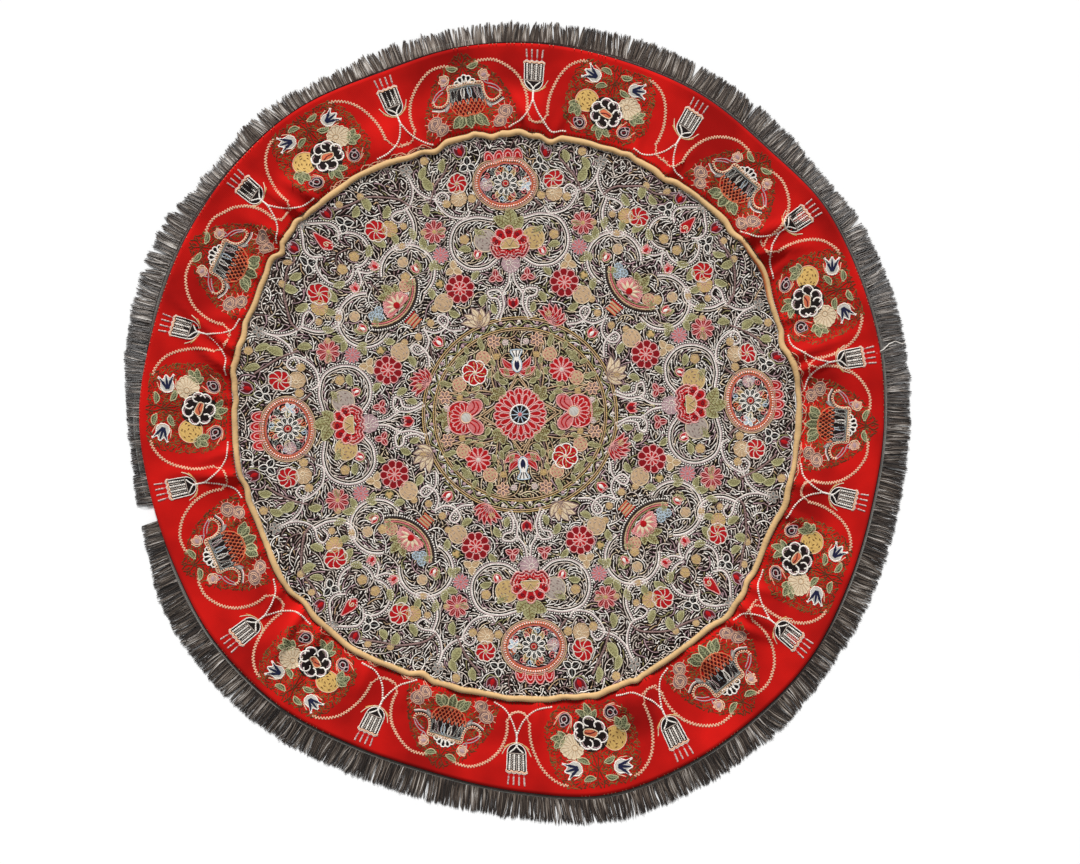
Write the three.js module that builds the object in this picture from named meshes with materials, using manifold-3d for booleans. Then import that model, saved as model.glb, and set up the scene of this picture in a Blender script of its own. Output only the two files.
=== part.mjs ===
// A round embroidered table cover, laid out flat: an embroidered centre panel, a corded seam, a red
// border that ripples beside the seam, and a cut fringe on its braided heading.
// Millimetres, +Z up. The origin is the middle of the centre panel's underside, on the surface
// that the cover lies on. Bearings are degrees, counter-clockwise from +X.

import * as THREE from 'three';
import { mergeVertices } from 'three/addons/utils/BufferGeometryUtils.js';
import Module from 'manifold-3d';

// ---------------------------------------------------------------- driving dimensions

const PIECE_GAP = 0.3;
const RING_STATIONS = 126;

const PANEL = {
  thickness: 2.5,
  flatShare: 0.8, // the part of the radius that lies flat on the surface
  riseShare: 0.9, // half way up the rise towards the seam
};

const PIPING = {
  width: 12,
  height: 8.5,
  shoulder: 4.5, // height of the straight sides, where the two panels are sewn on
  crownWidth: 5,
};

const BORDER = {
  thickness: 2,
  levels: [0, 0.13, 0.3, 0.52, 0.75, 1], // shares of the way from the seam to the outer edge
  lapStart: 0.52, // from here the border climbs on to the heading sewn beneath its edge
  lapEnd: 0.75,
  lapGap: 0.8,
};

const HEADING = { width: 14, thickness: 2 };

const FRINGE = {
  thickness: 2,
  stationsPerLock: 4,
  locks: 63,
  notch: 7, // how far the cut line dips between two locks
};

// The fringe is one strip, and its two ends don't quite meet.
const FRINGE_OPENING = { bearing: 195, rootWidth: 30, tipWidth: 46, inner: 600, outer: 760, depth: 40 };

// One row for each motif of the border, tassels between bouquets and baskets: how far the seam and the
// border's edge lie from the middle, how far the heading is tucked under that edge, and how far the
// fringe reaches past it.
const BAYS = [
  { bearing: 10, seam: 490, edge: 645, tuck: 4, reach: 49 },
  { bearing: 21, seam: 484, edge: 646, tuck: 4, reach: 50 },
  { bearing: 35, seam: 498, edge: 650, tuck: 4, reach: 43 },
  { bearing: 47, seam: 497, edge: 641, tuck: 4, reach: 48 },
  { bearing: 60, seam: 493, edge: 648, tuck: 4, reach: 48 },
  { bearing: 73, seam: 495, edge: 649, tuck: 4, reach: 48 },
  { bearing: 86, seam: 492, edge: 654, tuck: 6, reach: 38 },
  { bearing: 98, seam: 498, edge: 655, tuck: 8, reach: 37 },
  { bearing: 112, seam: 495, edge: 650, tuck: 6, reach: 40 },
  { bearing: 127, seam: 510, edge: 665, tuck: 8, reach: 36 },
  { bearing: 140, seam: 516, edge: 665, tuck: 6, reach: 38 },
  { bearing: 152, seam: 509, edge: 664, tuck: 4, reach: 50 },
  { bearing: 166, seam: 507, edge: 661, tuck: 4, reach: 51 },
  { bearing: 180, seam: 500, edge: 668, tuck: 22, reach: 24 },
  { bearing: 191, seam: 501, edge: 663, tuck: 20, reach: 27 },
  { bearing: 204, seam: 496, edge: 661, tuck: 4, reach: 51 },
  { bearing: 216, seam: 507, edge: 666, tuck: 4, reach: 53 },
  { bearing: 231, seam: 502, edge: 661, tuck: 4, reach: 53 },
  { bearing: 244, seam: 495, edge: 648, tuck: 4, reach: 52 },
  { bearing: 256, seam: 490, edge: 645, tuck: 4, reach: 53 },
  { bearing: 270, seam: 497, edge: 661, tuck: 4, reach: 50 },
  { bearing: 283, seam: 506, edge: 684, tuck: 4, reach: 53 },
  { bearing: 296, seam: 505, edge: 680, tuck: 4, reach: 50 },
  { bearing: 307, seam: 500, edge: 674, tuck: 4, reach: 49 },
  { bearing: 320, seam: 504, edge: 667, tuck: 6, reach: 46 },
  { bearing: 333, seam: 488, edge: 650, tuck: 4, reach: 50 },
  { bearing: 346, seam: 491, edge: 640, tuck: 4, reach: 51 },
  { bearing: 358, seam: 490, edge: 641, tuck: 4, reach: 50 },
];

// One row for each ripple that stands beside the seam: its bearing, half its width in degrees, its
// height, how far across the border it dies away, and how many degrees it leans on the way out.
const RIPPLES = [
  { bearing: 11, halfWidth: 7, height: 15, dies: 0.85, lean: -2 },
  { bearing: 36, halfWidth: 8, height: 14, dies: 0.9, lean: 2 },
  { bearing: 57, halfWidth: 9, height: 8, dies: 0.8, lean: 2 },
  { bearing: 72, halfWidth: 7, height: 4, dies: 0.6, lean: 0 },
  { bearing: 87, halfWidth: 9, height: 13, dies: 0.7, lean: -3 },
  { bearing: 103, halfWidth: 9, height: 8, dies: 0.6, lean: 2 },
  { bearing: 118, halfWidth: 7, height: 10, dies: 0.95, lean: 1 },
  { bearing: 131, halfWidth: 9, height: 13, dies: 0.5, lean: 4 },
  { bearing: 143, halfWidth: 6, height: 10, dies: 0.9, lean: -3 },
  { bearing: 168, halfWidth: 10, height: 12, dies: 0.6, lean: -3 },
  { bearing: 190, halfWidth: 7, height: 12, dies: 0.85, lean: 3 },
  { bearing: 213, halfWidth: 9, height: 13, dies: 0.5, lean: 2 },
  { bearing: 224, halfWidth: 5, height: 10, dies: 0.95, lean: 1 },
  { bearing: 238, halfWidth: 7, height: 7, dies: 0.8, lean: -2 },
  { bearing: 252, halfWidth: 9, height: 9, dies: 0.5, lean: 0 },
  { bearing: 272, halfWidth: 7, height: 8, dies: 0.8, lean: 2 },
  { bearing: 291, halfWidth: 10, height: 13, dies: 0.6, lean: -3 },
  { bearing: 308, halfWidth: 8, height: 8, dies: 0.5, lean: 0 },
  { bearing: 321, halfWidth: 7, height: 14, dies: 0.9, lean: -2 },
  { bearing: 346, halfWidth: 8, height: 10, dies: 0.8, lean: 2 },
];

// A ripple starts at the seam at this share of its height, and is highest a little way out.
const RIPPLE_AT_SEAM = 0.5;
const RIPPLE_CREST = 0.16;

// One row for each stretch of the outer edge that stands off the surface.
const EDGE_LIFTS = [
  { bearing: 34, halfWidth: 7, height: 4 },
  { bearing: 102, halfWidth: 11, height: 5 },
  { bearing: 141, halfWidth: 7, height: 5 },
  { bearing: 231, halfWidth: 8, height: 4 },
  { bearing: 298, halfWidth: 9, height: 5 },
  { bearing: 355, halfWidth: 8, height: 4 },
];

// One row for each place where the fringe is thin, parted or drawn in: how much shorter it is.
const THIN_PLACES = [
  { bearing: 38, halfWidth: 3, loss: 22 },
  { bearing: 120, halfWidth: 5, loss: 14 },
  { bearing: 143, halfWidth: 4, loss: 26 },
  { bearing: 164, halfWidth: 4, loss: 8 },
  { bearing: 200, halfWidth: 4, loss: 12 },
  { bearing: 321, halfWidth: 3, loss: 12 },
];

const COLOURS = {
  centre: 0x7c7062,
  ochre: 0xd0a868,
  scarlet: 0xc4181a,
  braid: 0x3d3b39,
  silk: 0x6f655d,
};

// ---------------------------------------------------------------- helpers

const FULL_TURN = 360;

/** The signed number of degrees from one bearing to another, from -180 to 180. */
function degreesFrom(from, to) {
  return THREE.MathUtils.euclideanModulo(to - from + FULL_TURN / 2, FULL_TURN) - FULL_TURN / 2;
}

/** A soft hump: 1 where x is 0, falling smoothly to 0 at -1 and 1. */
function hump(x) {
  return Math.abs(x) < 1 ? (1 + Math.cos(Math.PI * x)) / 2 : 0;
}

/** A smooth closed curve through one column of a table whose rows go round by bearing. */
function aroundTable(rows, column) {
  const row = (index) => rows[(index + rows.length) % rows.length];
  const slope = (index) => {
    const run = degreesFrom(row(index - 1).bearing, row(index + 1).bearing);
    return (row(index + 1)[column] - row(index - 1)[column]) / run;
  };
  return (bearing) => {
    const before = rows.findIndex((each, index) => {
      const span = degreesFrom(each.bearing, row(index + 1).bearing);
      const along = degreesFrom(each.bearing, bearing);
      return along >= 0 && along < span;
    });
    const run = degreesFrom(row(before).bearing, row(before + 1).bearing);
    const t = degreesFrom(row(before).bearing, bearing) / run;
    const start = row(before)[column] * (1 + 2 * t) * (1 - t) ** 2 + slope(before) * run * t * (1 - t) ** 2;
    const end = row(before + 1)[column] * t * t * (3 - 2 * t) - slope(before + 1) * run * t * t * (1 - t);
    return start + end;
  };
}

/** The sum over a table's rows of each row's hump at a bearing, times one of its columns. */
function humpsAt(rows, column, bearing) {
  return rows.reduce((sum, each) => {
    return sum + each[column] * hump(degreesFrom(each.bearing, bearing) / each.halfWidth);
  }, 0);
}

// ---------------------------------------------------------------- how the cloth lies

const seamRadius = aroundTable(BAYS, 'seam');
const edgeRadius = aroundTable(BAYS, 'edge');
const headingTuck = aroundTable(BAYS, 'tuck');
const fringeReach = aroundTable(BAYS, 'reach');

const borderInner = (bearing) => seamRadius(bearing) + PIPING.width / 2 + PIECE_GAP;
const headingInner = (bearing) => edgeRadius(bearing) - headingTuck(bearing);
const headingOuter = (bearing) => headingInner(bearing) + HEADING.width;
const fringeInner = (bearing) => headingOuter(bearing) + PIECE_GAP;

/** How high the seam stands off the surface. */
function seamLift(bearing) {
  return RIPPLE_AT_SEAM * humpsAt(RIPPLES, 'height', bearing);
}

/** How high the outer edge stands off the surface, above the heading that is under it. */
function edgeLift(bearing) {
  return humpsAt(EDGE_LIFTS, 'height', bearing);
}

/** A ripple's height a share of the way across the border, as a share of its crest. */
function rippleAcross(share, dies) {
  if (share < RIPPLE_CREST) {
    return THREE.MathUtils.lerp(RIPPLE_AT_SEAM, 1, Math.sin((Math.PI / 2) * (share / RIPPLE_CREST)));
  }
  return hump((share - RIPPLE_CREST) / (dies - RIPPLE_CREST));
}

/** The height of the border's underside a share of the way from the seam to the outer edge. */
function borderLift(bearing, share) {
  const ripples = RIPPLES.reduce((sum, each) => {
    const off = degreesFrom(each.bearing + each.lean * share, bearing);
    return sum + each.height * rippleAcross(share, each.dies) * hump(off / each.halfWidth);
  }, 0);
  const lap = THREE.MathUtils.smoothstep(share, BORDER.lapStart, BORDER.lapEnd);
  const outer = Math.max(0, (share - BORDER.lapEnd) / (1 - BORDER.lapEnd));
  return ripples + lap * (HEADING.thickness + BORDER.lapGap) + outer * edgeLift(bearing);
}

/** The height of the heading's underside, which follows the border's edge above it. */
function headingLift(bearing, radius) {
  const share = (radius - borderInner(bearing)) / (edgeRadius(bearing) - borderInner(bearing));
  const along = (share - BORDER.lapEnd) / (1 - BORDER.lapEnd);
  return edgeLift(bearing) * THREE.MathUtils.clamp(along, 0, 1);
}

/** How far from the middle one station of the fringe's cut line lies. */
function fringeTip(bearing, station) {
  const between = station % FRINGE.stationsPerLock === 0;
  const loss = (between ? FRINGE.notch : 0) + humpsAt(THIN_PLACES, 'loss', bearing);
  const longest = edgeRadius(bearing) + fringeReach(bearing);
  return Math.max(longest - loss, fringeInner(bearing) + FRINGE.notch);
}

// ---------------------------------------------------------------- making solids

/**
 * Turns a profile of [across, up] shares into a body that goes all the way round.
 * place(bearing, across, up, station) gives the radius and the height of each of its corners.
 */
function layRound(profile, stations, place) {
  const points = profile.map(([across, up]) => new THREE.Vector2(across, up));
  const geometry = new THREE.LatheGeometry(points, stations);
  const corners = geometry.attributes.position;
  for (let index = 0; index < corners.count; index += 1) {
    const station = Math.floor(index / profile.length) % stations;
    const bearing = (FULL_TURN * station) / stations;
    const [across, up] = profile[index % profile.length];
    const { radius, height } = place(bearing, across, up, station);
    const angle = THREE.MathUtils.degToRad(bearing);
    corners.setXYZ(index, radius * Math.cos(angle), radius * Math.sin(angle), height);
  }
  geometry.computeVertexNormals();
  return geometry;
}

/** The corners of a sheet's underside and then of its top, back to the first share. */
function sheetProfile(shares) {
  const under = shares.map((share) => [share, 0]);
  const over = shares.map((share) => [share, 1]).reverse();
  return [...under, ...over];
}

/** A profile that comes back to its first corner. */
function closed(profile) {
  return [...profile, profile[0]];
}

/** A geometry as a manifold solid, by its positions alone. */
function solidOf(wasm, geometry) {
  const bare = geometry.clone();
  bare.deleteAttribute('normal');
  bare.deleteAttribute('uv');
  const merged = mergeVertices(bare);
  return new wasm.Manifold(new wasm.Mesh({
    numProp: 3,
    vertProperties: new Float32Array(merged.attributes.position.array),
    triVerts: new Uint32Array(merged.index.array),
  }));
}

/** The geometry with everything inside the cutter taken away. */
function cutAway(wasm, geometry, cutter) {
  const mesh = solidOf(wasm, geometry).subtract(solidOf(wasm, cutter)).getMesh();
  const cut = new THREE.BufferGeometry();
  cut.setAttribute('position', new THREE.BufferAttribute(mesh.vertProperties, 3));
  cut.setIndex(new THREE.BufferAttribute(mesh.triVerts, 1));
  cut.computeVertexNormals();
  return cut;
}

/** The wedge between the two ends of the fringe, which is wider at the cut line. */
function fringeOpening() {
  const { bearing, rootWidth, tipWidth, inner, outer, depth } = FRINGE_OPENING;
  const wedge = new THREE.Shape([
    new THREE.Vector2(inner, -rootWidth / 2),
    new THREE.Vector2(outer, -tipWidth / 2),
    new THREE.Vector2(outer, tipWidth / 2),
    new THREE.Vector2(inner, rootWidth / 2),
  ]);
  const geometry = new THREE.ExtrudeGeometry(wedge, { depth, bevelEnabled: false });
  geometry.translate(0, 0, -depth / 2);
  geometry.rotateZ(THREE.MathUtils.degToRad(bearing));
  return geometry;
}

// ---------------------------------------------------------------- the pieces

/** The embroidered disc: flat on the surface, and rising a little where the seam is lifted. */
function centrePanel() {
  const profile = [[0, 0], ...sheetProfile([PANEL.flatShare, PANEL.riseShare, 1]), [0, 1]];
  return layRound(profile, RING_STATIONS, (bearing, across, up) => {
    const rim = seamRadius(bearing) - PIPING.width / 2 - PIECE_GAP;
    const rise = Math.max(0, (across - PANEL.flatShare) / (1 - PANEL.flatShare));
    return { radius: across * rim, height: seamLift(bearing) * rise ** 2 + up * PANEL.thickness };
  });
}

/** The padded cord along the seam: flat below, straight at its sides and crowned on top. */
function piping() {
  const half = PIPING.width / 2;
  const crown = PIPING.crownWidth / 2;
  const profile = closed([
    [-half, 0],
    [half, 0],
    [half, PIPING.shoulder],
    [crown, PIPING.height],
    [-crown, PIPING.height],
    [-half, PIPING.shoulder],
  ]);
  return layRound(profile, RING_STATIONS, (bearing, across, up) => {
    return { radius: seamRadius(bearing) + across, height: seamLift(bearing) + up };
  });
}

/** The red border, from the seam to its outer edge, with its ripples. */
function borderPanel() {
  return layRound(closed(sheetProfile(BORDER.levels)), RING_STATIONS, (bearing, across, up) => {
    const radius = THREE.MathUtils.lerp(borderInner(bearing), edgeRadius(bearing), across);
    return { radius, height: borderLift(bearing, across) + up * BORDER.thickness };
  });
}

/** The braid that carries the fringe, sewn beneath the border's edge. */
function fringeHeading(wasm) {
  const ring = layRound(closed(sheetProfile([0, 1])), RING_STATIONS, (bearing, across, up) => {
    const radius = THREE.MathUtils.lerp(headingInner(bearing), headingOuter(bearing), across);
    return { radius, height: headingLift(bearing, radius) + up * HEADING.thickness };
  });
  return cutAway(wasm, ring, fringeOpening());
}

/** The fringe as one comb: its root stands as high as the heading, and its tips lie down. */
function fringe(wasm) {
  const stations = FRINGE.locks * FRINGE.stationsPerLock;
  const comb = layRound(closed(sheetProfile([0, 1])), stations, (bearing, across, up, station) => {
    const tip = fringeTip(bearing, station);
    const radius = THREE.MathUtils.lerp(fringeInner(bearing), tip, across);
    const root = headingLift(bearing, fringeInner(bearing)) * (1 - across);
    return { radius, height: root + up * FRINGE.thickness };
  });
  return cutAway(wasm, comb, fringeOpening());
}

/** A named piece in its own cloth or thread. */
function piece(name, geometry, color, roughness) {
  const material = new THREE.MeshStandardMaterial({ color, roughness, metalness: 0 });
  const mesh = new THREE.Mesh(geometry, material);
  mesh.name = name;
  return mesh;
}

const wasm = await Module();
wasm.setup();

const tableCover = new THREE.Group();
tableCover.add(
  piece('centre_panel', centrePanel(), COLOURS.centre, 0.9),
  piece('piping', piping(), COLOURS.ochre, 0.7),
  piece('border_panel', borderPanel(), COLOURS.scarlet, 0.95),
  piece('fringe_heading', fringeHeading(wasm), COLOURS.braid, 0.8),
  piece('fringe', fringe(wasm), COLOURS.silk, 0.5),
);

export default tableCover;
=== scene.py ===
"""A round embroidered table cover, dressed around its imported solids.

Five sewn pieces are shown: the embroidered centre, the corded seam, the red border, the braid and the
fringe. Lengths of the cover are metres. The charts of the embroidery are drawn in millimetres, with X
across a motif and Y away from the middle of the cover, and are then laid on the cloth.
"""

import logging
import math
from collections.abc import Callable, Iterable, Iterator, Sequence
from contextlib import contextmanager
from dataclasses import dataclass, field
from enum import Enum

import bpy
import numpy as np
from bpy.types import Material, Mesh, Node, NodeSocket, NodeTree, Object
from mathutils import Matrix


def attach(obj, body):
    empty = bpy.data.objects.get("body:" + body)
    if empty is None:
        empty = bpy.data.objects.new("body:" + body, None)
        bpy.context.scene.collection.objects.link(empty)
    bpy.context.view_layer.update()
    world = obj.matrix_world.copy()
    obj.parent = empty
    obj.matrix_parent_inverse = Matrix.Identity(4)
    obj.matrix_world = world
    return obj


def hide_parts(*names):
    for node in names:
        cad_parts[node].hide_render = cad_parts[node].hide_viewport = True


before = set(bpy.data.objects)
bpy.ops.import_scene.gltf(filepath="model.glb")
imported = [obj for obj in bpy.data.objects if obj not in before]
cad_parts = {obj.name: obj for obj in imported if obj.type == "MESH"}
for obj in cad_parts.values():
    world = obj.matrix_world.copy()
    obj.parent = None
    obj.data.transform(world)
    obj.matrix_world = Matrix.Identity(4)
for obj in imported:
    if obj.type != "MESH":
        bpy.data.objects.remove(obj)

MM = 0.001
FULL_TURN = 2 * math.pi
TINT = "thread"
Array = np.ndarray
Shade = tuple[int, int, int]
Table = tuple[tuple[float, ...], ...]
log = logging.getLogger("table_cover")


# ---------------------------------------------------------------- threads and small geometry


def linear(colour: Shade) -> tuple[float, ...]:
    """Turns a display colour into scene-linear values, with an alpha of 1."""
    shares = [channel / 255 for channel in colour]
    return (*[s / 12.92 if s <= 0.04045 else ((s + 0.055) / 1.055) ** 2.4 for s in shares], 1.0)


class Dye(Enum):
    """Colours of thread, as display red, green and blue."""

    BLACK = (24, 13, 12)
    SOOT = (52, 40, 36)
    NAVY = (26, 28, 58)
    WHITE = (232, 225, 216)
    IVORY = (212, 198, 186)
    GREY = (164, 150, 140)
    SILVER = (188, 184, 176)
    STEEL = (120, 122, 118)
    MAUVE = (172, 142, 146)
    DUSK = (130, 104, 100)
    TAN = (186, 156, 122)
    OLIVE = (134, 126, 86)
    SAGE = (152, 148, 104)
    LIME = (182, 176, 136)
    MOSS = (104, 82, 42)
    BARK = (92, 50, 26)
    FERN = (138, 142, 106)
    PINE = (76, 76, 52)
    DUSTY = (190, 148, 130)
    ROSE = (196, 108, 108)
    PINK = (216, 158, 154)
    RED = (168, 12, 18)
    CRIMSON = (132, 10, 20)
    WINE = (96, 16, 26)
    ORANGE = (198, 104, 70)
    RUST = (181, 88, 31)
    OCHRE = (206, 168, 98)
    STRAW = (186, 156, 104)
    LILAC = (190, 170, 168)
    PEACH = (222, 178, 148)
    CREAM = (214, 194, 164)
    SKY = (176, 192, 204)
    NIGHT = (38, 38, 44)
    DOVE = (108, 100, 94)

    @property
    def tint(self) -> tuple[float, ...]:
        """The colour in scene-linear values."""
        return linear(self.value)


(BLACK, SOOT, NAVY, WHITE, IVORY, GREY, SILVER, STEEL, MAUVE, DUSK, TAN, OLIVE, SAGE, LIME, MOSS, BARK, FERN,
 PINE, DUSTY, ROSE, PINK, RED, CRIMSON, WINE, ORANGE, RUST, OCHRE, STRAW, LILAC, PEACH, CREAM, SKY, NIGHT,
 DOVE) = Dye


def blend(a: Array, b: Array, c: Array, d: Array, t: Array) -> Array:
    """A smooth way from b to c as t goes from 0 to 1, where a comes before them and d after."""
    return 0.5 * (2 * b + (c - a) * t + (2 * a - 5 * b + 4 * c - d) * t**2 + (3 * b - a - 3 * c + d) * t**3)


def around(samples: Array, bearings: Array) -> Array:
    """Reads values between samples that stand evenly round a full turn, on a smooth closed curve.

    Args:
        samples: One row for each sample, the first at bearing 0.
        bearings: Where to read, in radians.

    Returns:
        One row for each bearing.
    """
    count = len(samples)
    place = (np.asarray(bearings) / FULL_TURN % 1.0) * count
    first = np.floor(place).astype(int)
    t = (place - first).reshape(place.shape + (1,) * (samples.ndim - 1))
    return blend(*(samples[(first + step) % count] for step in (-1, 0, 1, 2)), t)


def between(knots: Array, values: Array, places: Array) -> Array:
    """Reads a smooth curve through uneven knots.

    Args:
        knots: Places of the knots, rising.
        values: Values at the knots, along the last axis.
        places: Where to read.

    Returns:
        The values at the places, along the last axis.
    """
    slopes = np.gradient(values, knots, axis=-1)
    left = np.clip(np.searchsorted(knots, places) - 1, 0, len(knots) - 2)
    span = knots[left + 1] - knots[left]
    t = (places - knots[left]) / span
    start = (1 + 2 * t) * (1 - t) ** 2 * values[..., left] + t * (1 - t) ** 2 * span * slopes[..., left]
    end = t**2 * (3 - 2 * t) * values[..., left + 1] + t**2 * (t - 1) * span * slopes[..., left + 1]
    return start + end


def wander(bearings: Array, seed: int, fewest: int, most: int) -> Array:
    """An uneven closed curve round the cover, made of a dozen waves.

    Args:
        bearings: Where to read, in radians.
        seed: Seed of the waves.
        fewest: Fewest waves in a full turn.
        most: Most waves in a full turn.

    Returns:
        Values of about -1 to 1.
    """
    waves = 12
    rng = np.random.default_rng(seed)
    cycles = rng.integers(fewest, most + 1, waves)
    phases = rng.uniform(0, FULL_TURN, waves)
    return np.sin(np.asarray(bearings)[..., None] * cycles + phases).sum(-1) / math.sqrt(waves / 2)


def hump(x: Array) -> Array:
    """A soft hump, 1 at 0 and 0 from 1 outwards."""
    return np.where(np.abs(x) < 1, 0.5 + 0.5 * np.cos(np.pi * np.clip(x, -1, 1)), 0.0)


def ease(x: Array) -> Array:
    """A smooth step from 0 to 1."""
    t = np.clip(x, 0, 1)
    return t * t * (3 - 2 * t)


def bearing_gap(bearings: Array, place: float) -> Array:
    """Radians from a bearing given in degrees, from half a turn behind it to half a turn ahead."""
    return (bearings - math.radians(place) + math.pi) % FULL_TURN - math.pi


def full_circle(count: int, turn: float = FULL_TURN) -> Array:
    """Angles that stand evenly round a full turn, from 0."""
    return np.linspace(0, turn, count, endpoint=False)


def polar(radii: Array, angles: Array, *more: Array) -> Array:
    """Points at some radii and angles, with any further coordinates after them, along the last axis."""
    return np.stack((radii * np.cos(angles), radii * np.sin(angles), *more), -1)


# ---------------------------------------------------------------- drawing, in millimetres


def arc(x: float, y: float, radius: float, start: float, end: float, squash: float = 1,
        step: float = 4) -> Array:
    """Points along an arc.

    Args:
        x: Middle, across.
        y: Middle, up.
        radius: Radius across.
        start: First angle, in degrees.
        end: Last angle, in degrees.
        squash: Height of the whole circle as a share of its width.
        step: Longest distance between two points.

    Returns:
        The points, one a row.
    """
    count = max(5, math.ceil(abs(math.radians(end - start)) * radius / step) + 1)
    angles = np.radians(np.linspace(start, end, count))
    return np.column_stack((x + radius * np.cos(angles), y + radius * squash * np.sin(angles)))


def circle(x: float, y: float, radius: float, squash: float = 1, step: float = 4) -> Array:
    """The outline of a circle or an oval, without its first point again at the end."""
    return arc(x, y, radius, 0, 360, squash, step)[:-1]


def smooth(points: Sequence[Sequence[float]], closed: bool = False, step: float = 4) -> Array:
    """A smooth curve through a few points.

    Args:
        points: The points that the curve goes through.
        closed: Whether the curve comes back to its first point.
        step: Longest distance between two points of the result.

    Returns:
        The curve's points, one a row.
    """
    p = np.asarray(points, float)
    ends = (p[-1:], p[:2]) if closed else (2 * p[:1] - p[1:2], 2 * p[-1:] - p[-2:-1])
    p = np.vstack((ends[0], p, ends[1]))
    parts = []
    for a, b, c, d in zip(p, p[1:], p[2:], p[3:]):
        count = max(2, math.ceil(np.hypot(*(c - b)) / step))
        parts.append(blend(a, b, c, d, np.arange(count)[:, None] / count))
    return np.vstack(parts if closed else (*parts, p[-2:-1]))


def curl(x: float, y: float, radius: float, start: float, sweep: float, tighten: float = 0.3) -> Array:
    """A line that winds in on itself.

    Args:
        x: Middle of the curl, across.
        y: Middle of the curl, up.
        radius: Its radius where it starts.
        start: Angle where it starts, in degrees.
        sweep: How far it winds, in degrees.
        tighten: Its last radius, as a share of the first.

    Returns:
        The points, one a row.
    """
    t = np.linspace(0, 1, max(6, math.ceil(abs(math.radians(sweep)) * radius / 3)))
    return (x, y) + polar(radius * (1 - (1 - tighten) * t), np.radians(start + sweep * t))


def evenly(points: Array, step: float, closed: bool = False) -> Array:
    """The same line with its points at most a step apart."""
    line = np.vstack((points, points[:1])) if closed else points
    lengths = np.concatenate(([0.0], np.cumsum(np.hypot(*np.diff(line, axis=0).T))))
    at = np.linspace(0, lengths[-1], max(2, math.ceil(lengths[-1] / step) + 1))
    spaced = np.column_stack([np.interp(at, lengths, line[:, axis]) for axis in (0, 1)])
    return spaced[:-1] if closed else spaced


def sideways(points: Array) -> Array:
    """Unit vectors to the left of a line, one for each of its points."""
    along = np.gradient(points, axis=0)
    along /= np.maximum(np.hypot(*along.T), 1e-9)[:, None]
    return np.column_stack((-along[:, 1], along[:, 0]))


def beside(points: Array, distance: float) -> Array:
    """A line to the left of another, or to its right where the distance is negative."""
    return points + sideways(points) * distance


def zigzag(points: Array, pitch: float, swing: float) -> Array:
    """A line that swings to both sides of another, a whole swing in each pitch."""
    line = evenly(points, pitch / 4)
    return line + sideways(line) * (np.resize([0.0, 1.0, 0.0, -1.0], len(line)) * swing)[:, None]


def loops(radius: float, count: int, depth: float, turn: float = 0) -> Array:
    """A closed outline with round lobes.

    Args:
        radius: Radius at the lobes' tips.
        count: Number of lobes.
        depth: How far the outline dips between them, as a share of the radius.
        turn: Angle of the first dip, in degrees.

    Returns:
        The points, one a row.
    """
    angles = full_circle(count * 6)
    radii = radius * (1 - depth * (1 - np.abs(np.sin(angles * count / 2))) ** 1.5)
    return polar(radii, angles + math.radians(turn))


# ---------------------------------------------------------------- the needle


class Chart:
    """A ruled chart of which places of a design are already worked."""

    def __init__(self, half: float, low: float, high: float, cell: float = 1.0) -> None:
        """Rules an empty chart.

        Args:
            half: Half its width.
            low: Lower side.
            high: Upper side.
            cell: Side of a cell.
        """
        self.corner, self.cell = np.array([-half, low]), cell
        self.taken = np.zeros((math.ceil(2 * half / cell), math.ceil((high - low) / cell)), bool)

    def cells(self, points: Array) -> tuple[Array, Array]:
        """Column and row of each point, kept on the chart."""
        found = ((points - self.corner) / self.cell).astype(int)
        return tuple(np.clip(found, 0, np.array(self.taken.shape) - 1).reshape(-1, 2).T)

    def places(self, cells: Array) -> Array:
        """Where cells lie in the design, given by column and row, which may be parts of a cell."""
        return cells * self.cell + self.corner

    def mark_line(self, points: Array, reach: float) -> None:
        """Marks all that lies within a reach of a line."""
        line = evenly(points, self.cell * 1.4)
        ring = np.arange(-reach, reach + self.cell / 2, self.cell)
        across, up = np.meshgrid(ring, ring)
        inside = across**2 + up**2 <= (reach + self.cell / 4) ** 2
        brush = np.column_stack((across[inside], up[inside]))
        self.taken[self.cells(line[:, None, :] + brush[None])] = True

    def mark_shape(self, outline: Array) -> None:
        """Marks the inside of a closed outline."""
        box = zip(outline.min(0), outline.max(0))
        sides = [np.arange(low, high + self.cell, self.cell) for low, high in box]
        grid = np.stack(np.meshgrid(*sides), -1).reshape(-1, 2)
        inside = np.zeros(len(grid), bool)
        for (ax, ay), (bx, by) in zip(outline, np.roll(outline, -1, 0)):
            crosses = (ay > grid[:, 1]) != (by > grid[:, 1])
            rise = by - ay if by != ay else 1e-9
            inside ^= crosses & (grid[:, 0] < (bx - ax) * (grid[:, 1] - ay) / rise + ax)
        if inside.any():
            self.taken[self.cells(grid[inside])] = True


class Row(Enum):
    """How a row of stitches looks: its pitch, the length of a stitch as a share of it, and its height."""

    CHAIN = (4.4, 1.35, 0.42)
    FINE = (3.4, 1.3, 0.42)
    BEADS = (4.2, 0.6, 0.55)
    PEARLS = (3.0, 0.9, 0.5)
    LOOSE = (5.2, 1.2, 0.4)
    SPRIG = (4.2, 1.25, 0.38)
    TINY = (1.5, 1.5, 0.45)


CHAIN, FINE, BEADS, PEARLS, LOOSE, SPRIG, TINY = Row


@dataclass
class Run:
    """A row of stitches on the cloth, in millimetres."""

    points: Array
    closed: bool
    tint: tuple[float, ...]
    width: float
    lift: float
    row: Row
    taper: float


@dataclass
class Satin:
    """A filled shape, padded a little in the middle, in millimetres."""

    corners: Array
    lifts: Array
    faces: list[tuple[int, ...]]
    tint: tuple[float, ...]


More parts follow.
